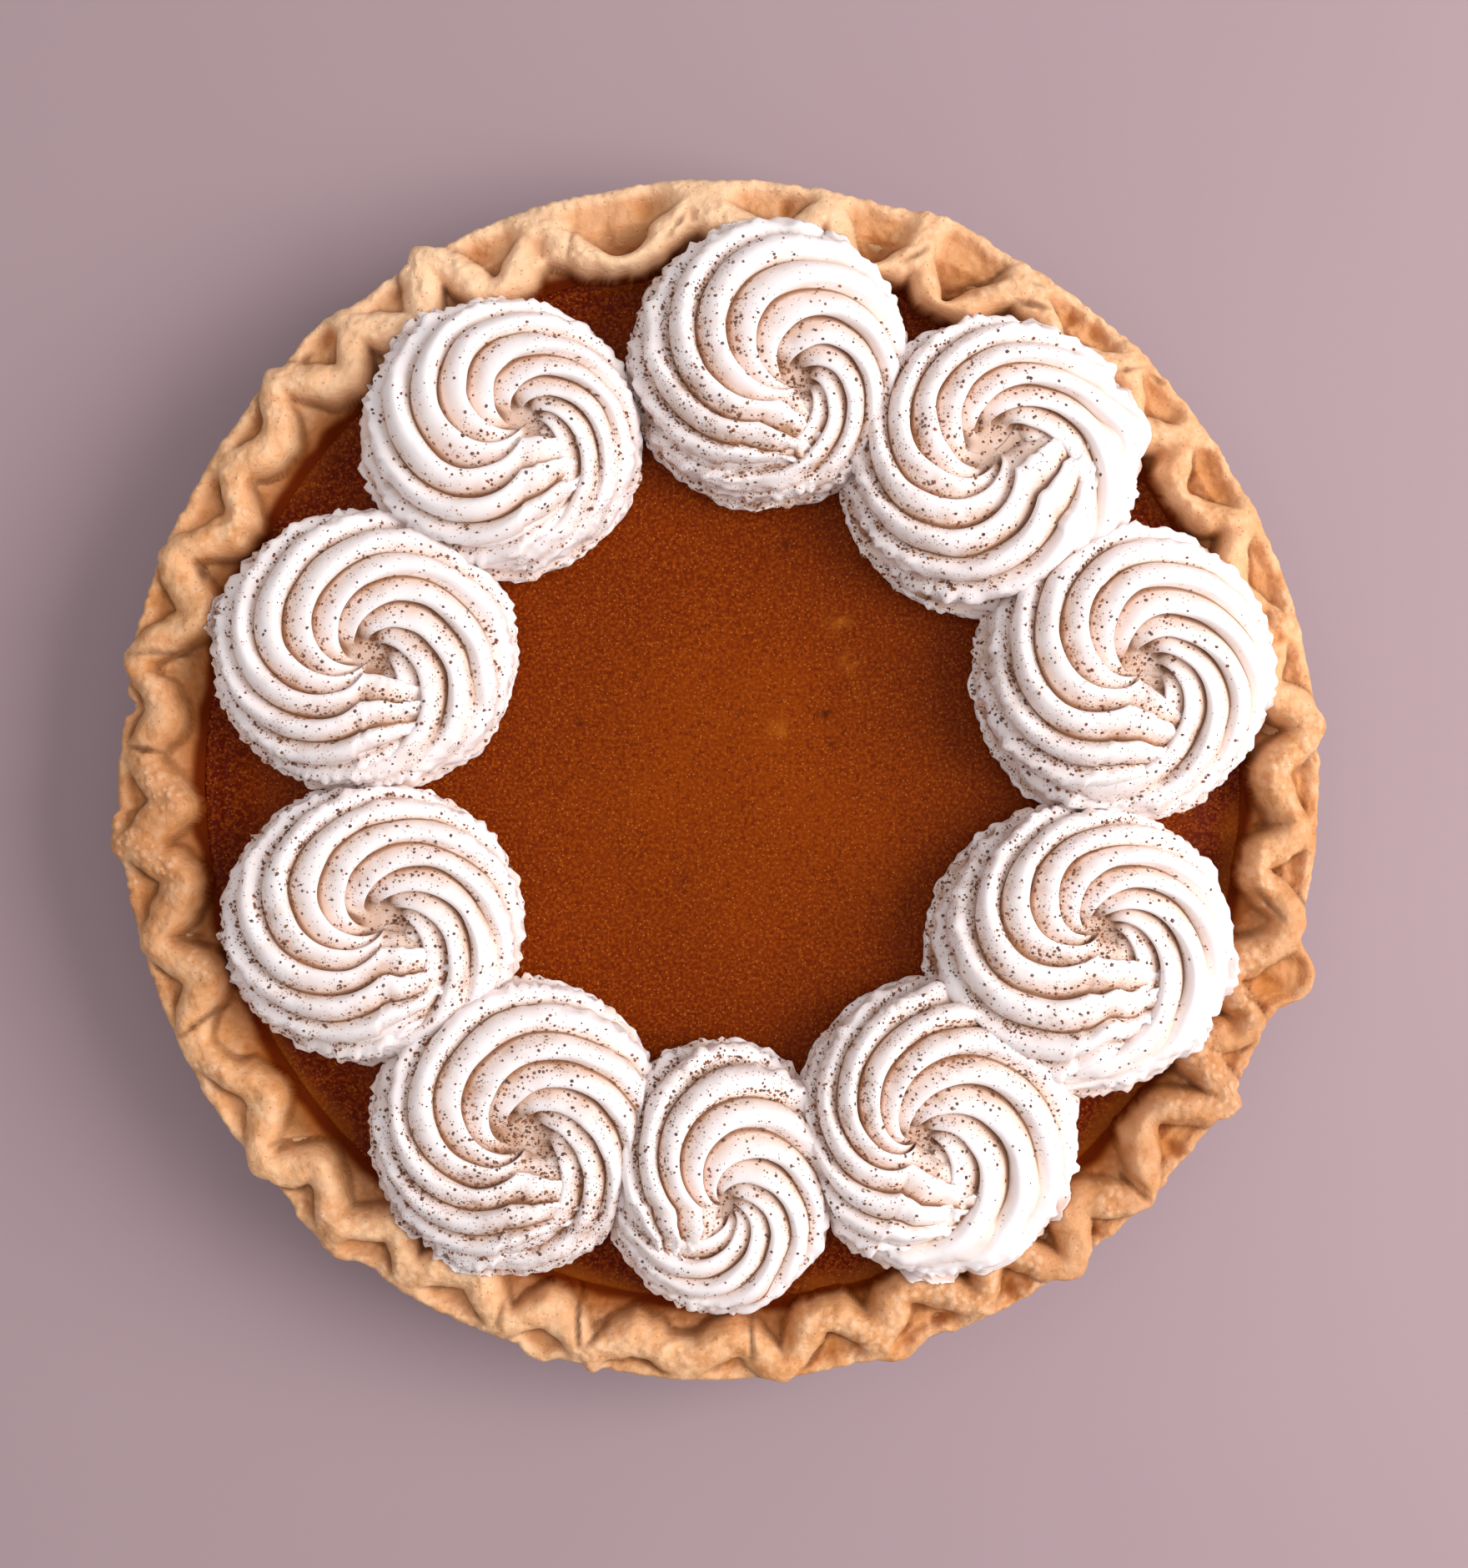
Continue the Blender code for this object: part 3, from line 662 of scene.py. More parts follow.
def swirl_mesh(number, swirl, steps):
    """Return the points, faces and painted groove shade values of one swirl of cream."""
    path_x, path_y, heading, width, along = (row[:, None] for row in rope_path(swirl, steps))
    beta, phase = ridge_grid(swirl, heading)
    faces = rope_faces(beta)
    share = phase - np.floor(phase + 1e-9)
    share = np.clip(share, 0.0, 1.0)
    ridge = ridge_shape(share)
    scale = (swirl[2] + swirl[3]) / 2
    flow = np.stack(np.broadcast_arrays(along * 160.0, beta * 0.26, number * 37.0), axis=-1)
    inside = smoothstep(INNER_END, -100.0, beta) * smoothstep(OUTER_END, 150.0, beta)
    beta = beta + inside * (6.5 * noise(flow, 24.0, 5) + 2.0 * noise(flow, 8.0, 6))

    depth = scale * RIDGE_DEPTH * (width / 0.42) ** 0.8
    depth = depth * (1.0 - 0.60 * smoothstep(90.0, 120.0, beta))
    depth = depth * smoothstep(INNER_END, -80.0, beta)
    depth = depth * (1.0 - 0.60 * smoothstep(1.1, 1.8, along))
    smeared = smoothstep(0.34, 0.16, along) * smoothstep(-0.1, 0.05, along)
    smeared = smeared * smoothstep(20.0, 60.0, beta)
    depth = depth * (1.0 - 0.75 * smeared)
    uneven = 1.0 + 0.30 * noise(flow, 15.0, 8)
    swell = depth * (ridge - 0.85) * uneven + 1.0 * smoothstep(30.0, 80.0, beta)

    level = np.abs(beta) / 90.0
    upper = np.sign(beta) * (0.6 * np.sin(np.radians(np.minimum(np.abs(beta), 90.0)))
                             + 0.4 * np.minimum(level, 1.0))
    foot_share = smoothstep(90.0, 180.0, beta)
    lateral = np.where(beta > 90.0, 1.0 - 0.03 * foot_share, upper)
    to_eye = np.clip(np.hypot(path_x, path_y) / width, 1.0, 1.6)
    lateral = np.where(beta < -90.0, -1.0 - (to_eye - 1.0) * (level - 1.0) / 0.31, lateral)
    push_out = np.where(beta > 90.0, 1.0, np.sin(np.radians(np.clip(beta, -90.0, 90.0))))
    push_up = np.cos(np.radians(np.clip(beta, -90.0, 90.0)))
    right_x = np.sin(np.radians(heading))
    right_y = -np.cos(np.radians(heading))

    def place(bulge):
        """Return x and y of every point when the surface swells by this many millimetres."""
        side = lateral * width + push_out * bulge / scale
        unit_x = path_x + side * right_x
        unit_y = path_y + side * right_y
        distance = np.hypot(unit_x, unit_y)
        angle = np.degrees(np.arctan2(unit_y, unit_x))
        reach = outline_reach(swirl, angle) * distance
        x = swirl[0] + swirl[4] + reach * np.cos(np.radians(angle))
        y = swirl[1] + swirl[5] + reach * np.sin(np.radians(angle))
        return x, y

    x, y = place(swell)
    spot = np.stack(np.broadcast_arrays(x, y, beta * 0.12), axis=-1)
    feather = smoothstep(40.0, 80.0, beta) * (1.0 - 0.6 * smoothstep(120.0, 170.0, beta))
    torn = np.abs(noise(spot, 2.3, 11 + number)) - 0.25
    swell = swell + (1.9 * feather + 0.06) * torn * (0.4 + 0.6 * ridge)
    swell = swell + 0.35 * noise(spot, 9.0, 31 + number)
    swell = swell + 0.9 * smeared * noise(spot, 6.5, 51 + number)
    tail_rough = smoothstep(1.25, 1.65, along) * smoothstep(-100.0, -40.0, beta)
    ragged = 2.4 * noise(spot, 3.2, 12) + 2.0 * noise(spot, 1.6, 13) + 0.8 * noise(spot, 0.9, 15)
    swell = swell + tail_rough * ragged
    lip = smoothstep(1.05, 1.25, along) * smoothstep(1.95, 1.7, along)
    lip = lip * smoothstep(-100.0, -80.0, beta) * smoothstep(-35.0, -60.0, beta)
    swell = swell + lip * (0.2 + 1.0 * np.abs(noise(spot, 2.0, 14)))
    direction = np.degrees(np.arctan2(y - swirl[1], x - swirl[0]))
    for lump_swirl, lump_direction, half_width, lump_reach in LUMPS:
        if lump_swirl == number:
            offset = (direction - lump_direction + 180.0) % 360.0 - 180.0
            lump = np.exp(-(offset / half_width) ** 2) * smoothstep(15.0, 70.0, beta)
            swell = swell * (1.0 - 0.7 * lump) + lump_reach * lump
    skirt_side = 0.5 + 0.5 * np.cos(np.radians(heading - 90.0 - SKIRT_DIRECTION))
    skirt = smoothstep(104.0, 122.0, beta) * smoothstep(40.0, 90.0, beta)
    inset = SKIRT_REACH * skirt_side * smoothstep(20.0, 80.0, beta)
    swell = swell - inset * (1.0 - skirt)
    x, y = place(swell)
    x, y = press_against_neighbours(x, y, swirl)

    rest = rest_height(x, y)
    highest = FILLING_TOP + GAP + swirl[7]
    top = highest - 4.6 * (1.0 - np.clip(along, 0.0, 1.0))
    top = top + 6.5 * np.minimum(along, 0.0) - 13.0 * smoothstep(1.1, 2.1, along)
    middle = FILLING_TOP + GAP + 0.46 * swirl[7]
    eye_floor = highest - EYE_DEPTH + 0.5 * along
    foot = np.where(beta > 0.0, middle, np.minimum(eye_floor, top - 3.0))
    dome = push_up ** np.where(beta > 0.0, 0.8, 0.55)
    z = foot + (top - foot) * dome + push_up * swell
    z = np.where(beta < -90.0, foot - 1.0 * (level - 1.0), z)
    z_side = soft_max(middle + 0.0 * z, rest + 2.6, 0.8)
    z = np.where(beta > 0.0, soft_max(z, rest + 2.6 + 2.5 * push_up, 0.8), z)
    drop = np.interp(beta, (90.0, 106.0, 124.0, 148.0, 180.0), (1.0, 0.62, 0.52, 0.34, 0.0))
    z = np.where(beta > 90.0, rest + (z_side - rest) * drop, z)
    z = np.maximum(z, rest + 0.02 * (OUTER_END - beta) / 100.0)

    points = np.stack([x, y, z], axis=-1)
    # Painted shade mask: darker down each ridge's outer flank into its groove, in the eye hollow
    # and under the bulge near the foot.
    edge = np.maximum(smoothstep(0.25, 1.0, share) ** 1.5, 1.0 - share / 0.04)
    edge = edge * smoothstep(-104.0, -88.0, beta)
    groove_shade = edge * (0.35 + 0.65 * smoothstep(170.0, 60.0, np.abs(beta)))
    groove_shade = groove_shade * (1.0 - 0.7 * smeared)
    groove_shade = groove_shade * (1.0 - 0.4 * smoothstep(-60.0, -90.0, beta))
    groove_shade = groove_shade + 0.80 * smoothstep(-62.0, -94.0, beta)
    groove_shade = groove_shade + 0.45 * smoothstep(98.0, 106.0, beta) * smoothstep(122.0, 112.0, beta)
    return points.reshape(-1, 3), faces, np.clip(groove_shade, 0.0, 1.0).ravel()


# Where the spice lies on each swirl: how much, the direction it is thickest in and how far it
# falls off the other way.
SPICE = (
    (1.05, 225.0, 0.75), (0.60, 330.0, 0.35), (0.95, 190.0, 0.85), (0.85, 200.0, 0.80),
    (0.90, 235.0, 0.35), (1.15, 200.0, 0.30), (0.95, 160.0, 0.80), (1.50, 240.0, 0.40),
    (0.85, 130.0, 0.50), (0.95, 125.0, 0.90),
)


def spice_density(swirl, spice, x, y):
    """Return how thickly the spice lies at a place on a swirl."""
    amount, toward, bias = spice
    size = (swirl[2] + swirl[3]) / 2
    along = ((x - swirl[0]) * math.cos(math.radians(toward))
             + (y - swirl[1]) * math.sin(math.radians(toward))) / size
    spot = np.stack([x, y, 0.0 * x], axis=-1)
    cluster = 1.0 + 0.55 * noise(spot, 7.0, 81) + 0.55 * noise(spot, 2.6, 82)
    end = math.radians(swirl[6] - 16.0)
    end_x = swirl[0] + swirl[4] + 0.62 * size * math.cos(end)
    end_y = swirl[1] + swirl[5] + 0.62 * size * math.sin(end)
    cluster = cluster + 0.9 * np.exp(-((x - end_x) ** 2 + (y - end_y) ** 2) / 55.0)
    return amount * np.clip(1.0 + bias * 1.6 * along, 0.04, 2.2) * np.clip(cluster, 0.1, 2.2)


def build_swirls():
    """Build the ten swirls and return what the spice needs to land on them."""
    material = cream_material()
    landing = []
    for number, (swirl, spice) in enumerate(zip(SWIRLS, SPICE), start=1):
        points, faces, groove_shade = swirl_mesh(number, swirl, 320)
        dust = spice_density(swirl, spice, points[:, 0], points[:, 1])
        dust = dust * (0.35 + 0.9 * groove_shade)
        name = f"cream_swirl_{number:02d}"
        add_piece(name, points, faces, material, [f"whipped_cream_{number:02d}"],
                  {"groove_shade": groove_shade, "dust": dust})
        tree = BVHTree.FromPolygons(points.tolist(), faces)
        landing.append((swirl, spice, tree, groove_shade, faces))
    return landing


# ---------------------------------------------------------------- spice

def grain_shapes(count, rng):
    """Return grain outlines: squashed, uneven double pyramids about one millimetre across."""
    corners = np.array([(1, 0, 0), (0.4, 0.9, 0), (-0.7, 0.7, 0), (-0.9, -0.5, 0),
                        (0.3, -1.0, 0), (0.1, 0.1, 1.0), (-0.1, 0.0, -1.0)], float)
    shapes = corners[None] * 0.5 + rng.uniform(-0.12, 0.12, (count, len(corners), 3))
    shapes[:, :, 2] *= 0.6
    faces = []
    for index in range(5):
        following = (index + 1) % 5
        faces.append((index, following, 5))
        faces.append((following, index, 6))
    return shapes, faces


def scatter_spice(landing):
    """Drop ground spice on the swirls, thicker in the grooves, as two kinds of grain."""
    rng = np.random.default_rng(11)
    kinds = {"nutmeg_grains": [], "cinnamon_grains": []}
    for swirl, spice, tree, groove_shade, faces in landing:
        tries = int(11000 * spice[0])
        x = swirl[0] + rng.uniform(-1.05, 1.05, tries) * swirl[2]
        y = swirl[1] + rng.uniform(-1.05, 1.05, tries) * swirl[3]
        lots, sizes, sorts, turns = rng.random((4, tries))
        density = spice_density(swirl, spice, x, y) / spice[0]
        for drop in np.flatnonzero(lots < 0.60 * density).tolist():
            start = Vector((x[drop], y[drop], 100.0))
            hit, normal, index, _ = tree.ray_cast(start, Vector((0, 0, -1)))
            if hit is None or normal.z < 0.12:
                continue
            depth = groove_shade[faces[index][0]]
            if lots[drop] > density[drop] * (0.07 + 0.53 * depth):
                continue
            name = "cinnamon_grains" if sorts[drop] < 0.30 + 0.50 * depth else "nutmeg_grains"
            size = 0.24 + 0.60 * sizes[drop] ** 2.4
            kinds[name].append((hit, normal, size, 6.283 * turns[drop]))
    nutmeg = speck_material("nutmeg", linear(88, 62, 54), linear(136, 101, 86), 700.0)
    cinnamon = speck_material("cinnamon", linear(128, 72, 40), linear(172, 108, 66), 700.0)
    for name, material in (("nutmeg_grains", nutmeg), ("cinnamon_grains", cinnamon)):
        grains = kinds[name]
        shapes, faces = grain_shapes(len(grains), rng)
        points = []
        all_faces = []
        for shape, (hit, normal, size, turn) in zip(shapes, grains):
            tangent = normal.orthogonal().normalized()
            across = normal.cross(tangent)
            along = tangent * math.cos(turn) + across * math.sin(turn)
            across = normal.cross(along)
            basis = np.array([along, across, normal])
            start = len(points)
            placed = (shape * size) @ basis + np.array(hit) + np.array(normal) * size * 0.08
            points.extend(placed.tolist())
            all_faces.extend([[start + corner for corner in face] for face in faces])
        add_piece(name, np.array(points), all_faces, material, ())


# ---------------------------------------------------------------- crust

def periodic(angle, table):
    """Interpolate a table of (angle, value) round the full circle with smooth bends."""
    known_angles = np.array([row[0] for row in table])
    values = np.array([row[1] for row in table])
    order = np.argsort(known_angles % 360.0)
    known = known_angles[order] % 360.0
    values = values[order]
    known = np.concatenate([[known[-1] - 360.0], known, [known[0] + 360.0]])
    values = np.concatenate([[values[-1]], values, [values[0]]])
    wrapped = angle % 360.0
    index = np.clip(np.searchsorted(known, wrapped, side="right") - 1, 0, len(known) - 2)
    share = (wrapped - known[index]) / (known[index + 1] - known[index])
    share = 0.5 - 0.5 * np.cos(math.pi * share)
    return values[index] + (values[index + 1] - values[index]) * share


def fold_line():
    """Return the fold's middle line: angles, radii and half widths all round."""
    angle = np.arange(0.0, 360.0, 0.25)
    reaches = []
    widths = []
    for out_angle, out_reach, in_angle, in_reach in FLUTES:
        reaches.append((out_angle, out_reach))
        reaches.append((in_angle, in_reach))
        widths.append((out_angle, 3.6))
        widths.append((in_angle, 4.5))
    place = ring_points(angle, 120.0)
    reach = periodic(angle, reaches) + 0.5 * noise(place, 6.0, 44)
    innermost = FOLD_INNERMOST - 2.6 * np.exp(-((angle - 65.0) / 4.0) ** 2)
    innermost = innermost - 2.2 * np.exp(-((angle - 100.5) / 4.0) ** 2)
    half_width = periodic(angle, widths) * (1.0 + 0.14 * noise(place, 7.0, 45))
    half_width = np.minimum(half_width, (reach - innermost) / 2)
    return angle, reach - half_width, half_width


def ring_points(angle, radius):
    """Return points round a circle at no height."""
    turn = np.radians(angle)
    return np.stack([radius * np.cos(turn), radius * np.sin(turn), 0.0 * turn], axis=-1)


def fold_cover(angle, radius, line):
    """Return how near the fold's middle line each point is: 0 on it and 1 at its side."""
    line_angle, line_radius, half_width = line
    steps = len(line_angle)
    nearest = np.full(radius.shape, 9.0)
    centre = np.round(angle / 360.0 * steps).astype(int)
    for offset in range(-24, 25):
        index = (centre + offset) % steps
        turn = np.radians(angle - line_angle[index])
        x = radius * np.cos(turn) - line_radius[index]
        y = radius * np.sin(turn)
        nearest = np.minimum(nearest, np.hypot(x, y) / half_width[index])
    return nearest


def brim_edge(angle, line):
    """Return the radius of the brim's edge, with its flaps and the folds that push it out."""
    reach = BRIM_RADIUS + 0.9 * np.cos(np.radians(angle - 150.0))
    for flap_angle, extra, half_width in FLAPS:
        offset = (angle - flap_angle + 180.0) % 360.0 - 180.0
        reach = reach + extra * np.exp(-np.abs(offset / half_width) ** 3)
    line_angle, line_radius, half_width = line
    fold_outer = np.interp(angle, line_angle, line_radius + half_width, period=360.0)
    reach = np.maximum(reach, fold_outer + 0.4)
    place = ring_points(angle, 125.0)
    return reach + 0.35 * noise(place, 9.0, 41) + 0.5 * (np.abs(noise(place, 2.2, 42)) - 0.3)


def case_wall(radius):
    """Return the height of the case's inner wall, from under the filling to the brim."""
    share = (radius - WALL_FOOT_RADIUS) / (WALL_TOP_RADIUS - WALL_FOOT_RADIUS)
    rising = np.clip(share, 0.0, 1.0) ** 1.15
    return FILLING_TOP + (POCKET_FLOOR - FILLING_TOP) * rising + 3.0 * np.minimum(share, 0.0)


def rim_shape(angle, radius, edge):
    """Return height, painted hollow shade, painted crease shade and blister values over the case's
    wall and rim.
    """
    line = fold_line()
    line_angle, line_radius, _ = line
    flat = ring_points(angle, 1.0) * radius[..., None]
    aside = 0.9 * noise(flat, 7.0, 46) + 0.4 * noise(flat, 3.0, 47)
    inward = 0.8 * noise(flat, 6.0, 48) + 0.45 * noise(flat, 2.6, 49)
    near = fold_cover(angle + np.degrees(aside / 120.0), radius + inward, line)
    middle = np.interp(angle, line_angle, line_radius, period=360.0)
    outside = smoothstep(-1.0, 1.0, radius - middle)

    base = case_wall(radius)
    band = smoothstep(4.2, 1.6, edge - radius)
    base = base + (BRIM_TOP - POCKET_FLOOR) * band * smoothstep(118.0, 120.0, radius)
    crest = CREST_HEIGHT + 0.8 * noise(flat, 14.0, 43)
    roll = np.clip(1.0 - near ** 2.4, 0.0, 1.0) ** 0.52
    height = base + (crest - base) * roll
    bends = [(row[0], 1.0) for row in FLUTES] + [(row[2], 0.0) for row in FLUTES]
    outward = smoothstep(0.45, 0.95, periodic(angle, bends))
    run = np.clip((radius - middle) / np.maximum(edge - middle, 0.5), 0.0, 1.0)
    shoulder = crest + (BRIM_TOP + 0.3 - crest) * run ** 1.7
    merged = np.maximum(height, shoulder)
    height = height + (merged - height) * outward * (radius > middle)

    # Painted shade: darker the further a place lies below the fold's crest, more on the fold's
    # inner side.
    below = np.clip((crest - height) / 5.0, 0.0, 1.0)
    hollow_shade = 0.55 * below ** 1.8 * outside * (1.0 - 0.75 * band)
    hollow_shade = hollow_shade + 0.42 * below * (1.0 - outside)
    patchy = 0.6 + 0.4 * noise(flat, 5.0, 63)
    # Painted shade: a narrow dark line along each side of the fold.
    crease_shade = np.exp(-((near - 1.03) / 0.13) ** 2) * (1.0 - outward * outside) * patchy
    height = height - 0.5 * crease_shade * (radius > WALL_FOOT_RADIUS)
    for dent_angle, dent_radius, half_along, half_across, depth in DENTS:
        offset = (angle - dent_angle + 180.0) % 360.0 - 180.0
        along = np.radians(offset) * dent_radius / half_along
        across = (radius - dent_radius) / half_across
        press = np.exp(-(along ** 2 + across ** 2))
        height = height - depth * press
        # Each dent also paints shade into its hollow; a nub gets a little painted light.
        hollow_shade = hollow_shade + 0.16 * np.clip(depth, -0.6, 2.6) * press
    for first_angle, first_radius, last_angle, last_radius, depth in CREASES:
        start = ring_points(np.float64(first_angle), first_radius)
        end = ring_points(np.float64(last_angle), last_radius)
        run = np.clip(((flat - start) @ (end - start)) / ((end - start) @ (end - start)), 0.0, 1.0)
        away = np.linalg.norm(flat - start - run[..., None] * (end - start), axis=-1)
        away = away + 0.25 * noise(flat, 1.5, 64)
        cut = np.exp(-(away / 0.55) ** 2) * depth * np.sin(math.pi * (0.12 + 0.76 * run))
        height = height - cut
        # Each cut also paints a dark shade line along its crease.
        crease_shade = np.maximum(crease_shade, 0.75 * cut)

    shown = smoothstep(WALL_FOOT_RADIUS - 0.5, WALL_FOOT_RADIUS + 2.0, radius)
    height = height + shown * (0.55 * rough_noise(flat, 5.0, 51) + 0.16 * noise(flat, 1.2, 55))
    blistered = smoothstep(-0.25, 0.35, noise(flat, 9.0, 65))
    blister = scattered_bumps(flat + 0.5 * inward[..., None], 2.1, 66) * blistered
    height = height + shown * 0.38 * blister
    height = height + shown * 0.16 * scattered_bumps(flat, 1.0, 69)
    return height, hollow_shade, crease_shade, blister


def build_crust():
    """Build the pastry case with its crimped rim."""
    columns = 1440
    angle = np.arange(columns) * 360.0 / columns
    ring = np.stack([np.cos(np.radians(angle)), np.sin(np.radians(angle))], axis=-1)
    edge = brim_edge(angle, fold_line())
    inner_radius = 107.2
    share = np.linspace(0.0, 1.0, 56)[:, None]
    top_radius = inner_radius + (edge[None, :] - 0.2 - inner_radius) * share
    top_angle = np.broadcast_to(angle, top_radius.shape)
    height, hollow_shade, crease_shade, blister = rim_shape(top_angle, top_radius, edge[None, :])
    turned_down = smoothstep(1.2, 0.0, edge[None, :] - top_radius)
    height = height - 0.9 * turned_down ** 2

    radii = [np.full(columns, radius) for radius in (0.0, 96.0, 98.5)]
    heights = [np.full(columns, level) for level in (4.6, 4.6, 6.5)]
    radii.extend(top_radius)
    heights.extend(height)
    for inset, level in ((0.0, 0.62), (0.05, 0.35), (0.5, 0.12), (1.4, 0.0)):
        radii.append(edge - inset)
        heights.append(UNDER_RIM + (height[-1] - UNDER_RIM) * level)
    for radius, level in ((117.9, UNDER_RIM), (116.4, 29.5), (96.0, 1.3), (0.0, 1.3)):
        radii.append(np.full(columns, radius))
        heights.append(np.full(columns, level))
    radius = np.stack(radii)
    height = np.stack(heights)
    points = np.concatenate([radius[..., None] * ring[None], height[..., None]], axis=-1)

    def pad(values, filler=0.0):
        """Give the rows below the shown surface a plain value."""
        before = np.full((3, columns), filler)
        after = np.full((8, columns), filler)
        return np.clip(np.concatenate([before, values, after]), 0.0, 1.0).ravel()

    low = smoothstep(FILLING_TOP + 6.5, FILLING_TOP + 1.5, height[3:-8])
    foot = top_radius + 0.7 * noise(ring_points(top_angle, 112.0), 5.0, 85)
    stain = low * smoothstep(120.0, 112.0, foot) * (0.6 + 0.4 * stain_strength(top_angle))
    wet = low * smoothstep(113.8, 111.8, foot)
    tone = periodic(top_angle, TONES)
    faces = loop_faces(len(radii), columns, flip=True)
    add_piece("pastry_case", points.reshape(-1, 3), faces, crust_material(), ["crust"],
              {"hollow_shade": pad(hollow_shade, 0.15), "stain": pad(stain), "crease_shade": pad(crease_shade),
               "blister": pad(blister), "wet": pad(wet),
               "pale": pad(tone), "brown": pad(-tone)})


def stain_strength(angle):
    """Return how much filling has baked on to the case's foot round the rim."""
    strength = np.zeros(angle.shape)
    for stain_angle, half_width, amount in STAINS:
        offset = (angle - stain_angle + 180.0) % 360.0 - 180.0
        near = smoothstep(half_width + 1.0, half_width - 4.0, np.abs(offset))
        strength = np.maximum(strength, amount * near)
    return strength


# ---------------------------------------------------------------- filling and tin

# Small burst bubbles in the filling: x, y, radius and depth.
PITS = (
    (13.2, 50.4, 0.9, 0.5), (3.6, 15.1, 0.7, 0.5), (-30.3, 12.5, 0.7, 0.4), (21.9, 14.8, 0.9, 0.5),
    (23.0, 8.0, 0.6, 0.4), (-27.4, -9.3, 0.7, 0.4), (-8.5, -20.5, 0.8, 0.4),
)

# Pale blotches in the filling: x, y and size.
PALE_SPOTS = (
    (24.6, 34.5, 2.2), (27.2, 25.8, 1.8), (30.8, 18.6, 1.6), (12.2, 10.4, 2.6), (2.3, -28.5, 1.6),
)


def build_filling():
    """Build the filling with its soft edge, small pits and a wrinkle by the crust."""
    columns = 360
    angle = np.arange(columns) * 360.0 / columns
    radii = np.concatenate([np.linspace(0.0, 104.0, 64), np.linspace(104.6, FILLING_RADIUS, 13)])
    ring = np.stack([np.cos(np.radians(angle)), np.sin(np.radians(angle))], axis=-1)
    flat = radii[:, None, None] * ring[None]
    points = np.concatenate([flat, np.full(flat.shape[:2] + (1,), FILLING_TOP)], axis=-1)
    radius = np.broadcast_to(radii[:, None], points.shape[:2])
    lift = 0.10 * noise(points, 30.0, 71) + 0.04 * noise(points, 8.0, 72)
    lift = lift - 0.5 * smoothstep(98.0, 106.0, radius) + 0.5 * smoothstep(107.0, 110.6, radius)
    upper_left = smoothstep(0.0, 0.3, np.cos(np.radians(angle - 130.0)))
    wrinkle = np.exp(-((radius - 106.6) / 0.7) ** 2) * upper_left
    lift = lift + 0.25 * wrinkle
    # Each burst bubble also gets painted shade inside it.
    pit_shade = np.zeros(points.shape[:2])
    for x, y, size, depth in PITS:
        near = np.exp(-(np.hypot(points[..., 0] - x, points[..., 1] - y) / size) ** 2)
        lift = lift - depth * near
        pit_shade = np.maximum(pit_shade, near)
    points[..., 2] += lift - 0.12
    shade = np.zeros(points.shape[:2])
    for swirl in SWIRLS:
        size = (swirl[2] + swirl[3]) / 2
        away = np.hypot(points[..., 0] - swirl[0], points[..., 1] - swirl[1]) - size
        shade = np.maximum(shade, smoothstep(20.0, 0.0, away))
    far_and_near = smoothstep(16.0, 48.0, np.abs(points[..., 1]))
    shade = np.maximum(shade, 0.5 * smoothstep(12.0, 46.0, radius) + 0.4 * far_and_near)
    pale = np.zeros(points.shape[:2])
    for x, y, size in PALE_SPOTS:
        near = np.exp(-(np.hypot(points[..., 0] - x, points[..., 1] - y) / size) ** 2)
        pale = np.maximum(pale, near * smoothstep(-0.2, 0.5, noise(points, 1.6, 73)))
    patchy = 0.7 + 0.3 * noise(points, 5.0, 74)
    around = np.broadcast_to(angle, radius.shape)
    climb = smoothstep(105.5, 110.4, radius + 1.2 * noise(points, 9.0, 75))
    climb = climb * stain_strength(around) * patchy
    edge = smoothstep(94.0, 107.0, radius)
    top = points.reshape(-1, 3)
    bottom = []
    for share_radius, height in ((FILLING_RADIUS - 2.0, 22.0), (96.0, 5.4), (0.0, 5.4)):
        bottom.append(np.concatenate([ring * share_radius, np.full((columns, 1), height)], axis=-1))
    all_points = np.concatenate([top] + bottom)
    rows = len(radii) + 3
    faces = loop_faces(rows, columns, flip=True)
    filler = np.zeros(3 * columns)
    shown = {"edge": edge, "pit_shade": pit_shade, "shade": 0.7 * shade, "pale": 0.6 * pale, "climb": climb}
    attributes = {label: np.concatenate([values.ravel(), filler])
                  for label, values in shown.items()}
    add_piece("custard_filling", all_points, faces, filling_material(), ["filling"],
              attributes)


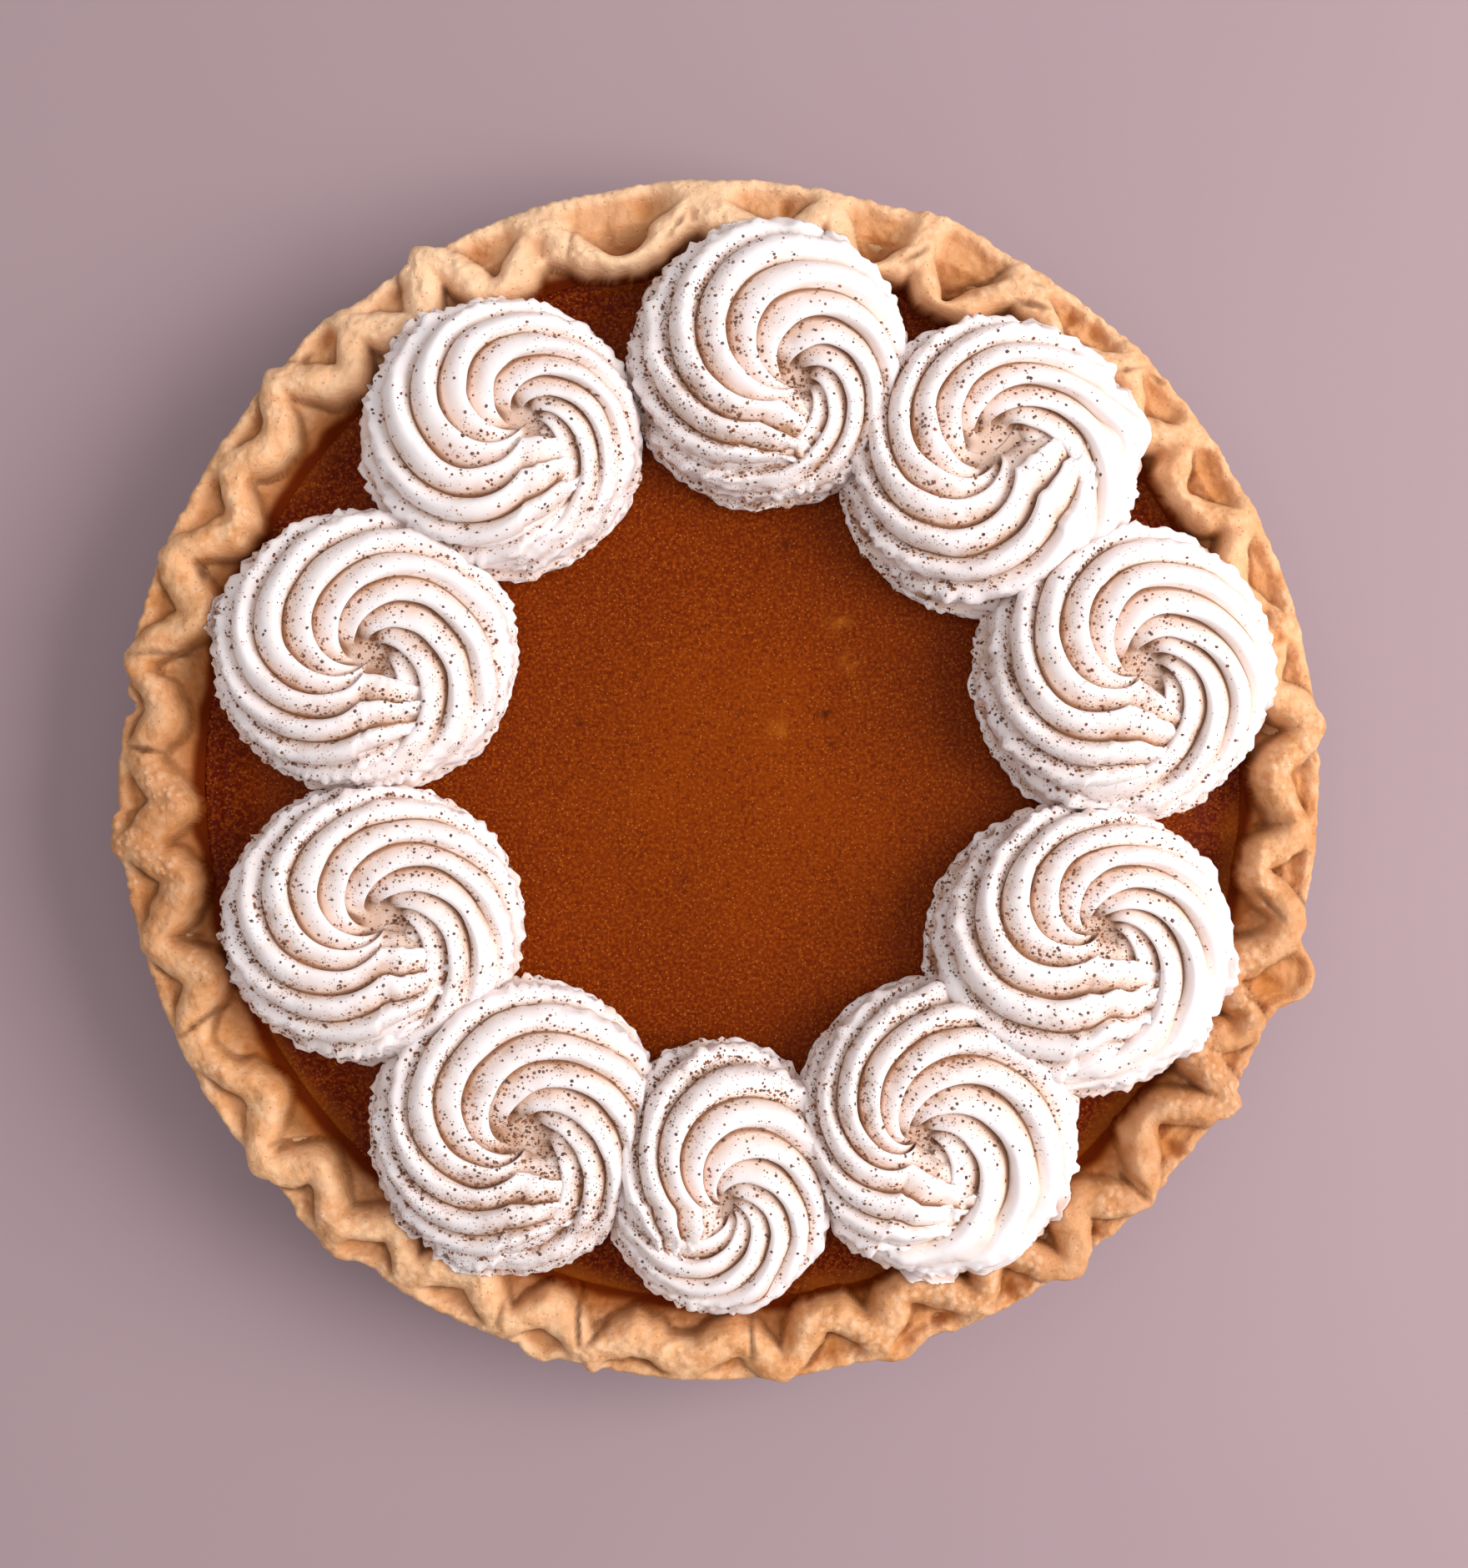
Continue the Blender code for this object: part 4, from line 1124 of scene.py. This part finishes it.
def build_tin():
    """Build the tin with a rounded pressed rim."""
    columns = 240
    angle = np.arange(columns) * 360.0 / columns
    ring = np.stack([np.cos(np.radians(angle)), np.sin(np.radians(angle))], axis=-1)
    profile = (
        (0.0, 0.8), (94.0, 0.8), (96.4, 1.1), (97.2, 1.9), (116.7, 29.4), (117.4, 30.3),
        (118.6, 30.7), (124.6, 30.7), (125.4, 30.4), (125.8, 29.8), (125.8, 29.1), (125.4, 28.9),
        (125.0, 29.2), (124.9, 29.8), (124.5, 29.9), (118.9, 29.9), (118.2, 29.6), (117.8, 29.0),
        (98.2, 1.5), (97.0, 0.4), (94.2, 0.0), (0.0, 0.0),
    )
    points = [np.concatenate([ring * radius, np.full((columns, 1), height)], axis=-1)
              for radius, height in profile]
    faces = loop_faces(len(profile), columns, flip=True)
    add_piece("pressed_tin", np.concatenate(points), faces, tin_material(), ["pie_tin"])


# ---------------------------------------------------------------- stage, light and camera

def build_floor():
    """Lay a large plain floor under the pie."""
    mesh = bpy.data.meshes.new("floor")
    half = 2.0
    mesh.from_pydata([(-half, -half, 0), (half, -half, 0), (half, half, 0), (-half, half, 0)], [],
                     [(0, 1, 2, 3)])
    mesh.materials.append(floor_material())
    floor = bpy.data.objects.new("floor", mesh)
    bpy.context.scene.collection.objects.link(floor)


def add_area_light(name, place, size, power, colour):
    """Add a square area light that looks at the pie."""
    light = bpy.data.lights.new(name, "AREA")
    light.size = size
    light.energy = power
    light.color = colour
    item = bpy.data.objects.new(name, light)
    item.location = place
    item.rotation_mode = "QUATERNION"
    item.rotation_quaternion = (-Vector(place)).to_track_quat("-Z", "Y")
    bpy.context.scene.collection.objects.link(item)


def light_scene():
    """Light the pie with a broad soft key from the right and a pale surrounding."""
    world = bpy.data.worlds.new("studio")
    world.use_nodes = True
    background = world.node_tree.nodes["Background"]
    background.inputs["Color"].default_value = (1.0, 0.985, 1.0, 1.0)
    background.inputs["Strength"].default_value = 0.42
    bpy.context.scene.world = world
    add_area_light("key", (0.8, 0.02, 0.75), 0.7, 11.5, (1.0, 0.97, 0.96))
    add_area_light("fill", (-0.05, 0.1, 1.3), 1.1, 3.0, (1.0, 0.98, 1.0))


def add_camera():
    """Look straight down on the pie."""
    camera = bpy.data.cameras.new("camera")
    camera.sensor_width = 36.0
    camera.lens = 36.0 * 2656.5 / 1880.0
    camera.clip_start = 0.01
    camera.clip_end = 20.0
    item = bpy.data.objects.new("camera", camera)
    item.location = (0.0024, -0.00035, 0.5)
    bpy.context.scene.collection.objects.link(item)
    bpy.context.scene.camera = item
    bpy.context.scene.view_settings.view_transform = "Standard"


build_tin()
build_crust()
build_filling()
scatter_spice(build_swirls())
build_floor()
light_scene()
add_camera()
